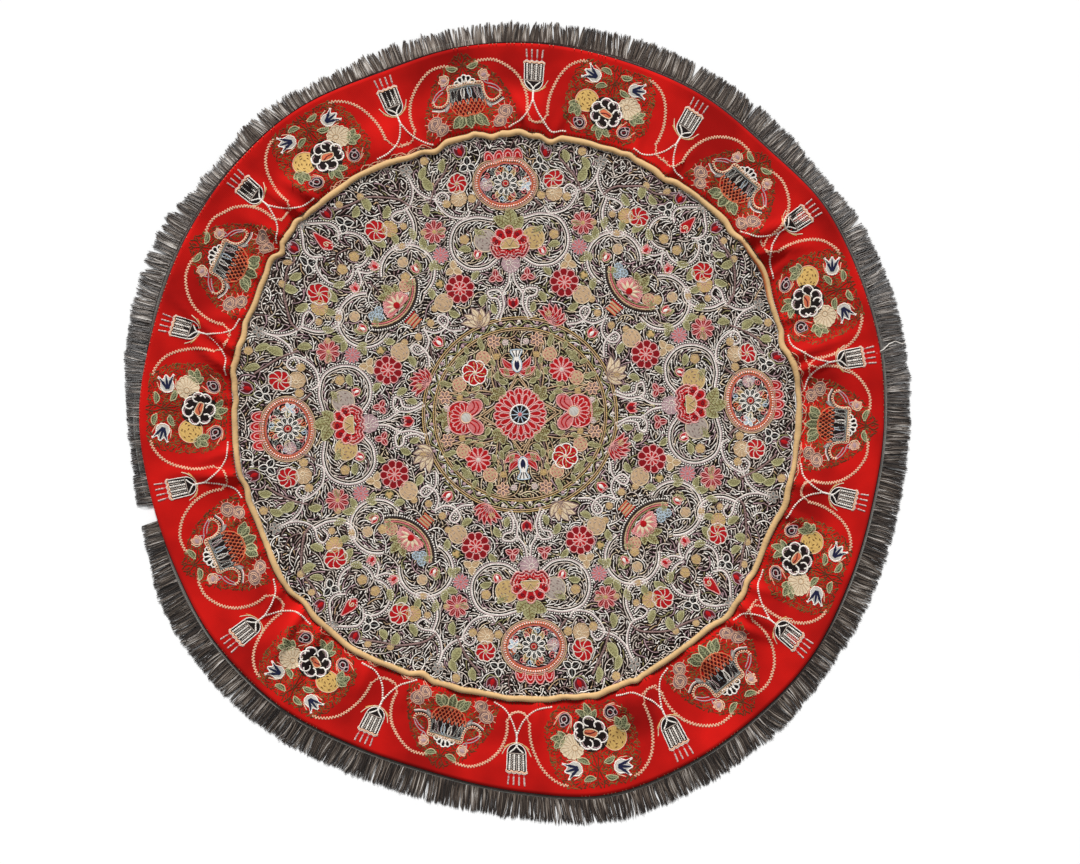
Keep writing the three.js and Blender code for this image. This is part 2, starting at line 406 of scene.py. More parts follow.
@dataclass
class Needle:
    """Works rows of stitches and filled shapes into a design, in a place that can be moved and turned."""

    chart: Chart | None = None
    margin: float = 1.5
    runs: list[Run] = field(default_factory=list)
    satins: list[Satin] = field(default_factory=list)
    spines: list[tuple[Array, float]] = field(default_factory=list)
    axes: Array = field(default_factory=lambda: np.eye(2))
    origin: Array = field(default_factory=lambda: np.zeros(2))

    BROAD = 16

    @contextmanager
    def placed(self, x: float = 0, y: float = 0, turn: float = 0, flip: bool = False,
               scale: float = 1) -> Iterator[None]:
        """Works what follows in another place.

        Args:
            x: Its origin, across.
            y: Its origin, up.
            turn: Its turn, in degrees.
            flip: Whether left and right change sides.
            scale: Its size.

        Yields:
            Nothing; the old place comes back at the end.
        """
        kept = self.axes, self.origin
        c, s = math.cos(math.radians(turn)) * scale, math.sin(math.radians(turn)) * scale
        side = -1 if flip else 1
        self.origin = self.origin + self.axes @ np.array([x, y])
        self.axes = self.axes @ np.array([[c * side, -s], [s * side, c]])
        try:
            yield
        finally:
            self.axes, self.origin = kept

    def turned(self, turns: Iterable[float], x: float = 0, y: float = 0) -> Iterator[float]:
        """Works what follows at each of some turns, in degrees, about a place."""
        for turn in turns:
            with self.placed(x, y, turn):
                yield turn

    def mirrored(self) -> Iterator[bool]:
        """Works what follows as it is drawn, and then as its mirror image."""
        for flip in (False, True):
            with self.placed(flip=flip):
                yield flip

    def add(self, motif: "Motif", x: float = 0, y: float = 0, turn: float = 0, scale: float = 1) -> None:
        """Works a motif at a place, turned by degrees and scaled."""
        with self.placed(x, y, turn, False, scale):
            motif.work(self)

    def scatter(self, motif: "Motif", places: Table) -> None:
        """Works a motif at each of some places, given by across, up, turn and size."""
        for place in places:
            self.add(motif, *place)

    def figures(self, table: Sequence[tuple]) -> None:
        """Works figures one after another, each given with its place."""
        for motif, *place in table:
            self.add(motif, *place)

    def pair(self, motif: "Motif", *place: float) -> None:
        """Works a motif on the right, and its mirror image on the left."""
        for _ in self.mirrored():
            self.add(motif, *place)

    def run(self, points: Array, dye: Dye, width: float = 2.6, row: Row = CHAIN, lift: float = 0.3,
            closed: bool = False, taper: float = 1) -> None:
        """Works a row of stitches along a line.

        Args:
            points: The line.
            dye: Its thread.
            width: Width of a stitch.
            row: Kind of row.
            lift: Height above the cloth.
            closed: Whether the row comes back to its start.
            taper: Width at the end, as a share of the width at the start.
        """
        step = min(2.0, row.value[0] / 2)
        line = evenly(np.asarray(points, float), step, closed) @ self.axes.T + self.origin
        self.runs.append(Run(line, closed, dye.tint, width, lift, row, taper))
        if self.chart is not None:
            marked = np.vstack((line, line[:1])) if closed else line
            self.chart.mark_line(marked, width / 2 + self.margin)

    def fine(self, points: Array, dye: Dye, width: float, lift: float = 0.3, closed: bool = False) -> None:
        """Works a row of fine stitches."""
        self.run(points, dye, width, FINE, lift, closed)

    def curve(self, points: Sequence[Sequence[float]], dye: Dye, width: float, lift: float = 0.3) -> None:
        """Works a row of fine stitches on a smooth curve through a few points."""
        self.fine(smooth(points), dye, width, lift)

    def satin(self, outline: Array, dye: Dye, lift: float = 0.4, crown: float = 0.5) -> None:
        """Fills a round or nearly round outline.

        Args:
            outline: Its points, without the first again at the end.
            dye: The filling's thread.
            lift: Height of its edge above the cloth.
            crown: How much its middle stands above its edge.
        """
        edge = np.asarray(outline, float) @ self.axes.T + self.origin
        turned = edge - np.roll(edge, -1, 0)
        if (edge[:, 0] * turned[:, 1] - edge[:, 1] * turned[:, 0]).sum() > 0:
            edge = edge[::-1]
        middle, count = edge.mean(0), len(edge)
        shares = (1, 0.85, 0.6, 0.32) if np.hypot(*(edge - middle).T).max() > self.BROAD else (1, 0.72)
        rings = [middle + (edge - middle) * share for share in shares]
        lifts = [np.full(count, lift + crown * min(1, (1 - share) * 2.9)) for share in shares]
        last = count * (len(shares) - 1)
        faces = []
        for i in range(count):
            j = (i + 1) % count
            for first in range(0, last, count):
                faces.append((first + i, first + j, first + count + j, first + count + i))
            faces.append((last + i, last + j, last + count))
        heights = np.concatenate((*lifts, [lift + crown]))
        self.satins.append(Satin(np.vstack((*rings, middle)), heights, faces, dye.tint))
        if self.chart is not None:
            self.chart.mark_shape(edge)

    def strip(self, spine: Array, widths: Array, dye: Dye, lift: float = 0.4, crown: float = 0.5) -> None:
        """Fills a long shape along its own line.

        Args:
            spine: The line along its middle.
            widths: Half its width at each point.
            dye: The filling's thread.
            lift: Height of its edges above the cloth.
            crown: How much its middle stands above them.
        """
        across = sideways(spine) * np.maximum(widths, 0.05)[:, None]
        rails = np.stack((spine - across, spine, spine + across), 1)
        faces = []
        for a in range(0, 3 * len(spine) - 3, 3):
            faces += [(a, a + 3, a + 4, a + 1), (a + 1, a + 4, a + 5, a + 2)]
        if np.linalg.det(self.axes) < 0:
            faces = [each[::-1] for each in faces]
        corners = rails.reshape(-1, 2) @ self.axes.T + self.origin
        self.satins.append(Satin(corners, np.tile([lift, lift + crown, lift], len(spine)), faces, dye.tint))
        if self.chart is not None:
            self.chart.mark_shape(np.vstack((corners[0::3], corners[2::3][::-1])))

    def patch(self, outline: Array, fill: Dye, edge: Dye, width: float, lift: float, rise: float,
              crown: float = 0.5) -> None:
        """Fills an outline and works a fine row round it.

        Args:
            outline: Its points, without the first again at the end.
            fill: The filling's thread.
            edge: The row's thread.
            width: Width of the row.
            lift: Height of the filling's edge above the cloth.
            rise: Height of the row.
            crown: How much the filling's middle stands above its edge.
        """
        self.satin(outline, fill, lift, crown)
        self.fine(outline, edge, width, rise, True)

    def band(self, points: Array, rows: Sequence[tuple[float, Dye, float, Row]]) -> None:
        """Works rows side by side along a line.

        Args:
            points: The line.
            rows: For each row, how far it is to the left, its thread, its width and its kind.
        """
        for distance, dye, width, row in rows:
            self.run(beside(points, distance), dye, width, row)
        reach = max(abs(distance) + width / 2 for distance, _, width, _ in rows)
        self.spines.append((points @ self.axes.T + self.origin, reach))


class Motif:
    """A figure that is worked around its own origin, upright, with Y away from the middle of the cover."""

    def work(self, needle: Needle) -> None:
        """Works the figure with a needle."""
        raise NotImplementedError


# ---------------------------------------------------------------- leaves and flowers


@dataclass(frozen=True)
class Leaf(Motif):
    """A pointed leaf that grows upwards from its origin."""

    length: float
    width: float
    fill: Dye
    edge: Dye
    rib: Dye | None = None
    bend: float = 0.12
    veined: bool = False

    VEINS = (0.24, 0.42, 0.6, 0.76)

    def work(self, needle: Needle) -> None:
        """Works the filling, the edge, the midrib and the veins."""
        t = np.linspace(0, 1, 6)
        spine = np.column_stack((self.bend * self.length * np.sin(np.pi * t), self.length * t))
        half = self.width / 2 * np.sin(np.pi * t**0.8) ** 0.8
        needle.strip(spine, half, self.fill)
        out = sideways(spine) * half[:, None]
        needle.fine(np.vstack((spine + out, (spine - out)[::-1][1:-1])), self.edge, 1.7, 0.6, True)
        if self.rib is None:
            return
        needle.fine(spine[1:-1], self.rib, 1.2, 0.9)
        for share in self.VEINS if self.veined else ():
            middle = spine[0] + (spine[-1] - spine[0]) * share
            reach = self.width * 0.36 * math.sin(math.pi * share)
            for side in (-1, 1):
                needle.fine([middle, middle + (side * reach, self.length * 0.12)], self.rib, 0.9, 0.9)


def sage(length: float, width: float) -> Leaf:
    """A veined leaf of the centre's green."""
    return Leaf(length, width, SAGE, LIME, MOSS, veined=True)


def pine(length: float, width: float, bend: float = 0.12) -> Leaf:
    """A veined leaf of the border's dark green."""
    return Leaf(length, width, PINE, LIME, FERN, bend, True)


@dataclass(frozen=True)
class Spray(Motif):
    """Three or more leaves that spread from one root."""

    leaf: Leaf
    count: int = 3
    spread: float = 100

    def work(self, needle: Needle) -> None:
        """Works the leaves from the outer ones inwards."""
        turns = np.linspace(-self.spread / 2, self.spread / 2, self.count)
        for turn in sorted(turns, key=lambda angle: -abs(angle)):
            needle.add(self.leaf, turn=turn, scale=1.12 - 0.3 * abs(turn) / self.spread)


@dataclass(frozen=True)
class Disc(Motif):
    """A round fruit with an edge, and with rings of specks or with creases."""

    radius: float
    fill: Dye
    edge: Dye
    speck: Dye | None = None
    specks: int = 0

    def work(self, needle: Needle) -> None:
        """Works the filling and the edge, and then the specks, or the creases where it has none."""
        outline = circle(0, 0, self.radius, step=5) if self.specks else loops(self.radius, 5, 0.2)
        needle.patch(outline, self.fill, self.edge, 1.4, 0.4, 0.6)
        if not self.specks:
            for angle in range(0, 360, 72):
                crease = arc(0, 0, self.radius, angle, angle + 1)[:1] * [[0.3], [0.85]]
                needle.fine(crease, self.edge, 1.1, 0.9)
            return
        ring = self.radius * 0.74
        while ring > 2:
            count = max(3, round(self.specks * ring / self.radius))
            for angle in full_circle(count, 360) + ring * 9:
                needle.run(arc(0, 0, ring, angle, angle + 100 / ring)[[0, -1]], self.speck, 1.5, TINY, 1.0)
            ring -= 5


@dataclass(frozen=True)
class Shell(Motif):
    """A ribbed, scalloped disc with a small ring off its middle."""

    radius: float
    fill: Dye
    rib: Dye
    ribs: int = 14

    def work(self, needle: Needle) -> None:
        """Works the scalloped filling, its ribs and the small ring."""
        outline = loops(self.radius, self.ribs, 0.1)
        needle.satin(outline, self.fill)
        needle.fine(outline[::2], self.fill, 2.0, 0.7, True)
        heart = np.array([-self.radius * 0.25, self.radius * 0.1])
        for angle in np.radians(full_circle(self.ribs, 360)):
            tip = np.array([math.cos(angle), math.sin(angle)]) * self.radius * 0.86
            needle.fine(np.vstack((heart + (tip - heart) * 0.45, tip)), self.rib, 1.2, 0.9)
        needle.fine(circle(*heart, self.radius * 0.24), self.rib, 1.6, 1.1, True)


@dataclass(frozen=True)
class Daisy(Motif):
    """Round petals about a heart."""

    radius: float
    petals: int
    fill: Dye
    edge: Dye
    heart: Dye
    hole: float = 0.34
    rib: Dye | None = None
    slim: float = 1.0
    high: float = 0.0

    LENGTHS = np.array([0, 0.25, 0.6, 0.88, 1])
    WIDTHS = np.array([0.42, 0.8, 1.06, 0.84, 0.3])

    def work(self, needle: Needle) -> None:
        """Works each petal with its edge, and then the heart."""
        inner, outer = self.radius * self.hole, self.radius
        widths = math.pi * (inner + outer) / 2 / self.petals * 0.92 * self.slim * self.WIDTHS
        spine = np.column_stack((0 * self.LENGTHS, inner + (outer - inner) * self.LENGTHS))
        out = np.column_stack((widths, 0 * widths))
        hoop = np.vstack((spine + out, (spine - out)[::-1]))
        for _ in needle.turned(full_circle(self.petals, 360)):
            needle.strip(spine, widths, self.fill, 0.4 + self.high)
            needle.fine(hoop, self.edge, max(1.7, self.radius * 0.05), 0.6 + self.high)
            if self.rib is not None:
                needle.fine(spine[0:4:3], self.rib, max(1.3, self.radius * 0.04), 0.9 + self.high)
        needle.satin(circle(0, 0, inner * 0.9), self.heart, 0.6 + self.high)


@dataclass(frozen=True)
class Pinwheel(Motif):
    """A round flower whose curved spokes all bend one way."""

    radius: float
    spokes: int
    fill: Dye
    edge: Dye
    heart: Dye
    fleck: Dye | None = None
    bend: float = 0.5

    def work(self, needle: Needle) -> None:
        """Works the filling, the lobed edge, the spokes, the flecks between them and the heart."""
        outline = loops(self.radius, self.spokes, 0.12, 180 / self.spokes + 27 * self.bend)
        needle.patch(outline, self.fill, self.edge, 2.2, 0.4, 0.9)
        reach = np.linspace(0.12, 0.92, 5)
        for turn in full_circle(self.spokes, 360):
            angles = math.radians(turn) + self.bend * (reach - 0.1) * 2
            needle.fine(polar(1, angles) * (self.radius * reach)[:, None], self.edge, 1.4, 0.9)
            if self.fleck is not None:
                angle = math.radians(turn + 180 / self.spokes) + self.bend
                along = np.array([[0.45], [0.72]]) * self.radius
                needle.fine(np.array([[math.cos(angle), math.sin(angle)]]) * along, self.fleck, 1.8, 0.9)
        needle.satin(circle(0, 0, self.radius * 0.17), self.heart, 1.1)


@dataclass(frozen=True)
class Rosette(Motif):
    """Two rings of dark petals with pale edges."""

    radius: float
    outer: Dye
    inner: Dye
    edge: Dye

    def work(self, needle: Needle) -> None:
        """Works both rings of petals and the heart."""
        needle.add(Daisy(self.radius, 9, self.outer, self.edge, BLACK, 0.44, slim=1.12))
        needle.add(Daisy(self.radius * 0.5, 8, self.inner, self.edge, self.edge, 0.28, high=0.8))


@dataclass(frozen=True)
class Star(Motif):
    """A small open flower of separate pointed petals."""

    radius: float
    fill: Dye
    edge: Dye
    petals: int = 6

    def work(self, needle: Needle) -> None:
        """Works the petals, each from the middle outwards."""
        petal = Leaf(self.radius * 0.82, self.radius * 0.55, self.fill, self.edge, bend=0)
        for turn in full_circle(self.petals, 360):
            angle = math.radians(turn + 90)
            needle.add(petal, math.cos(angle) * self.radius * 0.2, math.sin(angle) * self.radius * 0.2, turn)


@dataclass(frozen=True)
class Trefoil(Motif):
    """Three round petals with dark hearts."""

    radius: float
    fill: Dye
    edge: Dye
    heart: Dye

    def work(self, needle: Needle) -> None:
        """Works the three petals."""
        petal = Leaf(self.radius * 1.15, self.radius * 0.85, self.fill, self.edge, self.heart, bend=0)
        for turn in (0, 120, 240):
            needle.add(petal, turn=turn)


@dataclass(frozen=True)
class Bud(Motif):
    """A closed flower: a heart between two petals, on a small cup, that points upwards."""

    length: float
    width: float
    fill: Dye
    edge: Dye
    heart: Dye
    sepal: Dye | None = None

    def work(self, needle: Needle) -> None:
        """Works the petals, the heart and the sepals."""
        high, half = self.length, self.width / 2
        right = smooth([(0, 0), (half * 0.9, high * 0.3), (half, high * 0.7), (half * 0.75, high)], step=5)
        crown = [(half * 0.3, high * 0.72), (0, high * 0.98), (-half * 0.3, high * 0.72)]
        outline = np.vstack((right, crown, (right[::-1] * (-1, 1))[:-1]))
        needle.patch(outline, self.fill, self.edge, 1.8, 0.4, 0.6)
        drop = [(0, high * 0.14), (half * 0.42, high * 0.42), (0, high * 0.8), (-half * 0.42, high * 0.42)]
        needle.satin(smooth(drop, True, 5), self.heart, 1.0)
        if self.sepal is not None:
            for side in (-1, 1):
                sepal = [(0, -1), (side * half * 0.9, 0), (side * half * 1.35, high * 0.5)]
                needle.curve(sepal, self.sepal, 1.6, 0.5)


@dataclass(frozen=True)
class Tulip(Motif):
    """An open bell of three long petals, pointing upwards."""

    length: float
    width: float
    fill: Dye
    edge: Dye
    line: Dye
    sepal: Dye

    BELL = ((0, 0), (0.6, 0.05), (0.95, 0.34), (0.78, 0.66), (1.15, 1.0), (0.5, 0.76))

    def work(self, needle: Needle) -> None:
        """Works the petals with the pale lines inside them, and the sepals."""
        high, half = self.length, self.width / 2
        bell = np.array([*self.BELL, (0, 1.05), *((-x, y) for x, y in self.BELL[:0:-1])]) * (half, high)
        needle.patch(bell, self.line, self.edge, 2.0, 0.5, 0.7)
        for side, top in ((-1, 0.88), (0, 0.96), (1, 0.88)):
            knots = np.array([(0.12, 0.2), (0.42, 0.5), (0.98, top)]) * (half * side, high)
            spine = smooth(knots, step=high / 5)
            needle.strip(spine, 2.2 * np.sin(np.linspace(0.5, 2.9, len(spine))), self.fill, 1.1)
        for side in (-1, 1):
            needle.fine(np.array([(side * 0.3, 0.3), (side * 0.36, 0.6)]) * (half, high), self.fill, 1.0, 1.2)
        for side in (-1, 1):
            sepal = [(0, 0), (side * half * 1.0, high * 0.2), (side * half * 1.3, high * 0.62)]
            needle.curve(sepal, self.sepal, 1.7, 0.5)


# ---------------------------------------------------------------- the border's figures


class Tassel(Motif):
    """A bell tassel on a forked stem, its threads pointing to the outer edge."""

    TOP, HEM, HALF = 72, 119, 17
    LEGS = (((0, 57), (-12, 31), (-33, 11), (-58, 4)), ((0, 57), (8, 33), (20, 14), (38, 5)))

    def work(self, needle: Needle) -> None:
        """Works the stem, the bell, its columns of beads, the scalloped hem and the threads."""
        top, hem, half = self.TOP, self.HEM, self.HALF
        for leg in self.LEGS:
            needle.curve(leg, PEACH, 1.4)
            needle.run(smooth(leg), WHITE, 3.0, BEADS, 0.5)
        needle.run(smooth([(0, 71), (0, 62), (0, 54)]), WHITE, 3.0)
        dome = arc(0, top + 17, half - 1, 180, 360, squash=1.05)
        needle.satin(np.vstack((dome, [(half, hem), (-half, hem)])), BLACK, 0.3, 0.2)
        needle.fine(np.vstack(([(-half, hem)], dome, [(half, hem)])), WHITE, 1.6, 0.7)
        for x in (-12.2, -4.1, 4.1, 12.2):
            needle.run([(x * 0.92, top + 20), (x, hem - 2)], WHITE, 3.0, PEARLS, 0.6)
        for x in (-8.2, 0, 8.2):
            marks = np.array([(x * 0.92, top + 20), (x, hem - 3)])
            needle.run(zigzag(marks, 4.4, 0.9), IVORY, 0.7, TINY, 0.5)
        needle.fine([(-15, top + 17), (15, top + 17)], GREY, 1.9, 0.8)
        for side in (-1, 1):
            needle.curve([(0, top + 4), (side * 4, top + 9), (side * 10, top + 14)], WHITE, 2.2, 0.7)
            for reach, rise, dye in ((20, 7, OCHRE), (24, 18, CREAM)):
                ends = [(side * reach * 0.82, top + rise * 0.55), (side * reach, top + rise)]
                needle.curve([(side * 2, top - 2), (side * 11, top + 1), *ends], dye, 1.5)
        rim = np.column_stack((np.linspace(-half, half, 17), hem + np.resize([0.0, 1.6, 2.6, 1.6], 17)))
        needle.fine(rim, PEACH, 2.6, 0.7)
        needle.fine(rim + (0, 2.2), IVORY, 1.7, 0.6)
        for x, lean in ((-12.5, -1.5), (-4.5, 0), (4.5, 0.5), (12.5, 2)):
            end = [(x + lean / 2, hem + 12), (x + lean, hem + 22)]
            needle.fine([(x, hem + 4), end[0]], ROSE, 1.5)
            needle.fine(end, IVORY, 2.4, 0.5)
            needle.fine(end, MAUVE, 1.2, 1.0)


def stalks(needle: Needle, stem: Table, branch: Table, high: float) -> None:
    """Works the brown stalks above a figure, first on the left and then on the right.

    Args:
        needle: The needle.
        stem: A stem that runs down the middle.
        branch: A branch of it.
        high: How high the little curl beside it is.
    """
    for side in (-1, 1):
        needle.run(smooth(np.array(stem) * (side, 1)), BARK, 2.0, SPRIG)
        needle.run(smooth(np.array(branch) * (side, 1)), BARK, 1.8, SPRIG)
        needle.run(curl(side * 9, high, 4, 90, side * 300), BARK, 1.8, SPRIG)


class Basket(Motif):
    """A footed basket held upside down, a netted fruit in its mouth, between buds and thistles."""

    HANDLE = ((0, 88), (20, 88), (29, 87), (29, 74), (34, 60), (46, 54), (58, 59), (60, 67))
    CURLS = (((59, 70), (53, 78), (45, 84), (37, 87), (33, 92), (36, 97), (41, 95), (40, 90)),
             ((56, 68), (49, 75), (41, 80)))
    NET = ((57, 8), (51.5, 9), (46, 6), (40.5, 7), (35, 4))
    MESH = 3.5
    LEAVES = ((-22, SILVER, 31), (-11, GREY, 30), (0, SILVER, 31), (11, GREY, 30), (22, SILVER, 31),
              (-16.5, STEEL, 21), (-5.5, WHITE, 20), (5.5, SKY, 20), (16.5, MAUVE, 21))

    def work(self, needle: Needle) -> None:
        """Works the leaves, the basket, the fruit and the flowers beside it."""
        stalks(needle, ((3, 141), (6, 133), (1, 121), (6, 106)), ((0, 123), (14, 110), (28, 104)), 135)
        needle.pair(pine(20, 9), 9, 117, -72)
        needle.pair(Bud(16, 14, DUSTY, PEACH, MAUVE, CREAM), 28, 99, -72)
        needle.pair(pine(21, 12), 11, 30, 208)
        needle.add(pine(28, 17, 0), 0, 34, 180)
        needle.pair(pine(24, 15), 17, 33, 216)
        self.work_fruit(needle)
        self.work_body(needle)
        for _ in needle.mirrored():
            self.work_puffs(needle)

    def work_puffs(self, needle: Needle) -> None:
        """Works the pair of swirled puffs with their hairs, low on the right."""
        for x, y, size in ((50, 15, 11), (62, 31, 12.5)):
            needle.patch(circle(x, y, size, squash=0.86), DUSK, DUSTY, 1.5, 0.5, 0.9)
            for turn in (40, 160, 280):
                needle.fine(curl(x, y, size * 0.72, turn, 200, 0.45), PEACH, 1.3, 1.2)
            for angle in range(-60, 200, 37):
                hair = arc(0, 0, size, angle, angle + 1)[:1] * [[1], [1.3]]
                needle.fine(hair + (x, y), PEACH, 1.0)

    def work_fruit(self, needle: Needle) -> None:
        """Works the half round fruit with its net of arches."""
        needle.fine(arc(0, 56, 30, 178, 362, squash=0.9), ORANGE, 2.6, 0.7)
        for y, count in self.NET:
            for x in (np.arange(count) - (count - 1) / 2) * 2 * self.MESH:
                needle.fine(arc(x, y, self.MESH, 180, 360, squash=1.2, step=2), ORANGE, 1.2, 1.0)
                needle.fine([(x, y - 2.6), (x, y + 0.6)], BLACK, 1.9, 0.9)

    def work_body(self, needle: Needle) -> None:
        """Works the dark body with its leaves, the frame, the shell foot and the two scrolled handles."""
        mouth = [(24, 63), (16, 57), (8, 62), (0, 56), (-8, 62), (-16, 57), (-24, 63)]
        needle.satin(np.array([(-26, 84), (26, 84), *mouth]), BLACK, 0.7, 0.1)
        for x, dye, length in self.LEAVES:
            needle.add(Leaf(length, length * 0.34, BLACK, dye, bend=0), x, 82, 180 + x * 0.6)
        needle.fine([(-27, 62), (-27, 83), (27, 83), (27, 62)], STEEL, 2.4, 1.0)
        needle.fine([(-27, 85.5), (27, 85.5)], TAN, 1.6, 1.0)
        needle.satin(np.vstack((arc(0, 88, 20, 0, 180, squash=0.75), [(-20, 86), (20, 86)])), BLACK, 0.3, 0.1)
        for x, y in ((-14, 91), (-7.5, 97), (0, 99.5), (7.5, 97), (14, 91)):
            root = [(x * 0.6, 88)]
            needle.fine(np.vstack((root, arc(x, y, 4.2, 200 - x * 4, -20 - x * 4), root)), WHITE, 2.2, 0.8)
        for _ in needle.mirrored():
            for distance, dye, width in ((-3.0, BLACK, 2.0), (-5.0, GREY, 1.6), (-7.0, WHITE, 1.5)):
                needle.fine(beside(smooth(self.HANDLE[3:-1]), distance), dye, width, 0.4)
            needle.run(smooth(self.HANDLE), PEACH, 3.6, BEADS, 0.8)
            needle.fine(beside(smooth(self.HANDLE), 2.2), CREAM, 1.6, 0.5)
            for line in self.CURLS:
                needle.curve(line, MAUVE, 2.0, 0.4)
            needle.add(Leaf(16, 6, GREY, STEEL, bend=0), 33, 58, 205)


class Bouquet(Motif):
    """A curled peony between an ochre fruit and a shell, with tulips above and rosebuds below."""

    PETALS = ((18, 14), (76, 12), (128, 12), (180, 13), (231, 12), (282, 13), (334, 14))

    def work(self, needle: Needle) -> None:
        """Works the stems, the leaves, the fruit, the peony and the flowers beside it."""
        stalks(needle, ((3, 140), (5, 128), (1, 112), (4, 90)), ((0, 112), (12, 100), (24, 96)), 133)
        needle.scatter(pine(20, 9), ((8, 126, -82), (-10, 124, 78), (13, 102, -112), (-12, 102, 112)))
        needle.scatter(Tulip(29, 24, NAVY, WHITE, SILVER, PEACH), ((-27, 110, 73), (27, 106, -80)))
        needle.scatter(Spray(pine(20, 12), 3, 95), ((-48, 54, 140), (47, 64, -115)))
        needle.add(Spray(pine(23, 11), 3, 95), 0, 31, 180)
        needle.add(Disc(20, OCHRE, PEACH, BARK, 10), -38, 67)
        needle.add(Shell(20, CREAM, TAN), 36, 73)
        self.work_peony(needle)
        for place in ((-40, 25, 60), (38, 29, -40)):
            with needle.placed(*place):
                self.work_rosebud(needle)

    def work_rosebud(self, needle: Needle) -> None:
        """Works a dark bud with a curled pale edge, between long sepals."""
        for side in (-1, 1):
            for reach, high in ((12, 14), (14, 4)):
                sepal = [(0, -12), (side * 8, -9), (side * (reach - 1), 0), (side * reach, high)]
                needle.curve(sepal, PEACH, 1.4)
        bud = smooth([(0, -10), (7, -6), (9, 2), (4, 9), (-1, 13), (-6, 8), (-9, 0), (-7, -7)], True)
        needle.patch(bud, BLACK, MAUVE, 1.5, 0.6, 0.9)
        needle.curve([(-4, 6), (4, 4), (5, -2), (0, -5), (-4, -1), (-2, 4), (2, 8)], LILAC, 1.7, 1.3)
        needle.curve([(1, 1), (0, -2)], WINE, 2.4, 1.2)

    def work_peony(self, needle: Needle) -> None:
        """Works the dark petals with their curled white edges, and the bright heart."""
        needle.satin(loops(30, 7, 0.12) + (0, 54), BLACK, 0.8)
        for turn, size in self.PETALS:
            with needle.placed(0, 54, turn, flip=turn % 2 == 1):
                needle.fine(curl(0, 30 - size, size, 5, 235, 0.4), WHITE, 2.6, 1.3)
                needle.fine(arc(0, 30 - size, size * 0.64, 30, 140), MAUVE, 1.6, 1.2)
        heart = smooth([(-12, 53), (-6, 61), (4, 58), (11, 54), (8, 47), (-4, 48)], True)
        needle.patch(heart, ORANGE, CREAM, 1.8, 1.4, 1.7)
        needle.curve([(-7, 52), (0, 54), (7, 52)], WINE, 2.0, 2.0)


@dataclass(frozen=True)
class Rickrack(Motif):
    """The zigzag line that frames a roundel from one side, and the shallow loop that leads to the next."""

    arch: Table

    LINK = ((99, 21), (103, 10), (113, 4), (126, 4))

    def work(self, needle: Needle) -> None:
        """Works the arch and the loop on the right, and their mirror images."""
        for _ in needle.mirrored():
            needle.run(zigzag(smooth(self.arch), 5.2, 2.2), PEACH, 1.9, TINY)
            needle.run(zigzag(smooth(self.LINK), 5.2, 1.5), PEACH, 1.6, TINY)


# ---------------------------------------------------------------- filling


@dataclass(frozen=True)
class Sprigs:
    """One size of small curved sprig for filling a ground.

    count is how many are tried, length how long each is, least the shortest that is kept, bend how far
    it turns in degrees and width how wide its stitches are.
    """

    count: int
    length: float
    least: float
    bend: float
    width: float


@dataclass(frozen=True)
class Plumes:
    """Side strokes along a line.

    pitch is how far apart they start, length how long each is, least the shortest that is kept, spread
    their angle to the line and curl how far they turn on from there, both in degrees.
    """

    pitch: float
    length: float
    least: float
    spread: float
    curl: float
    width: float


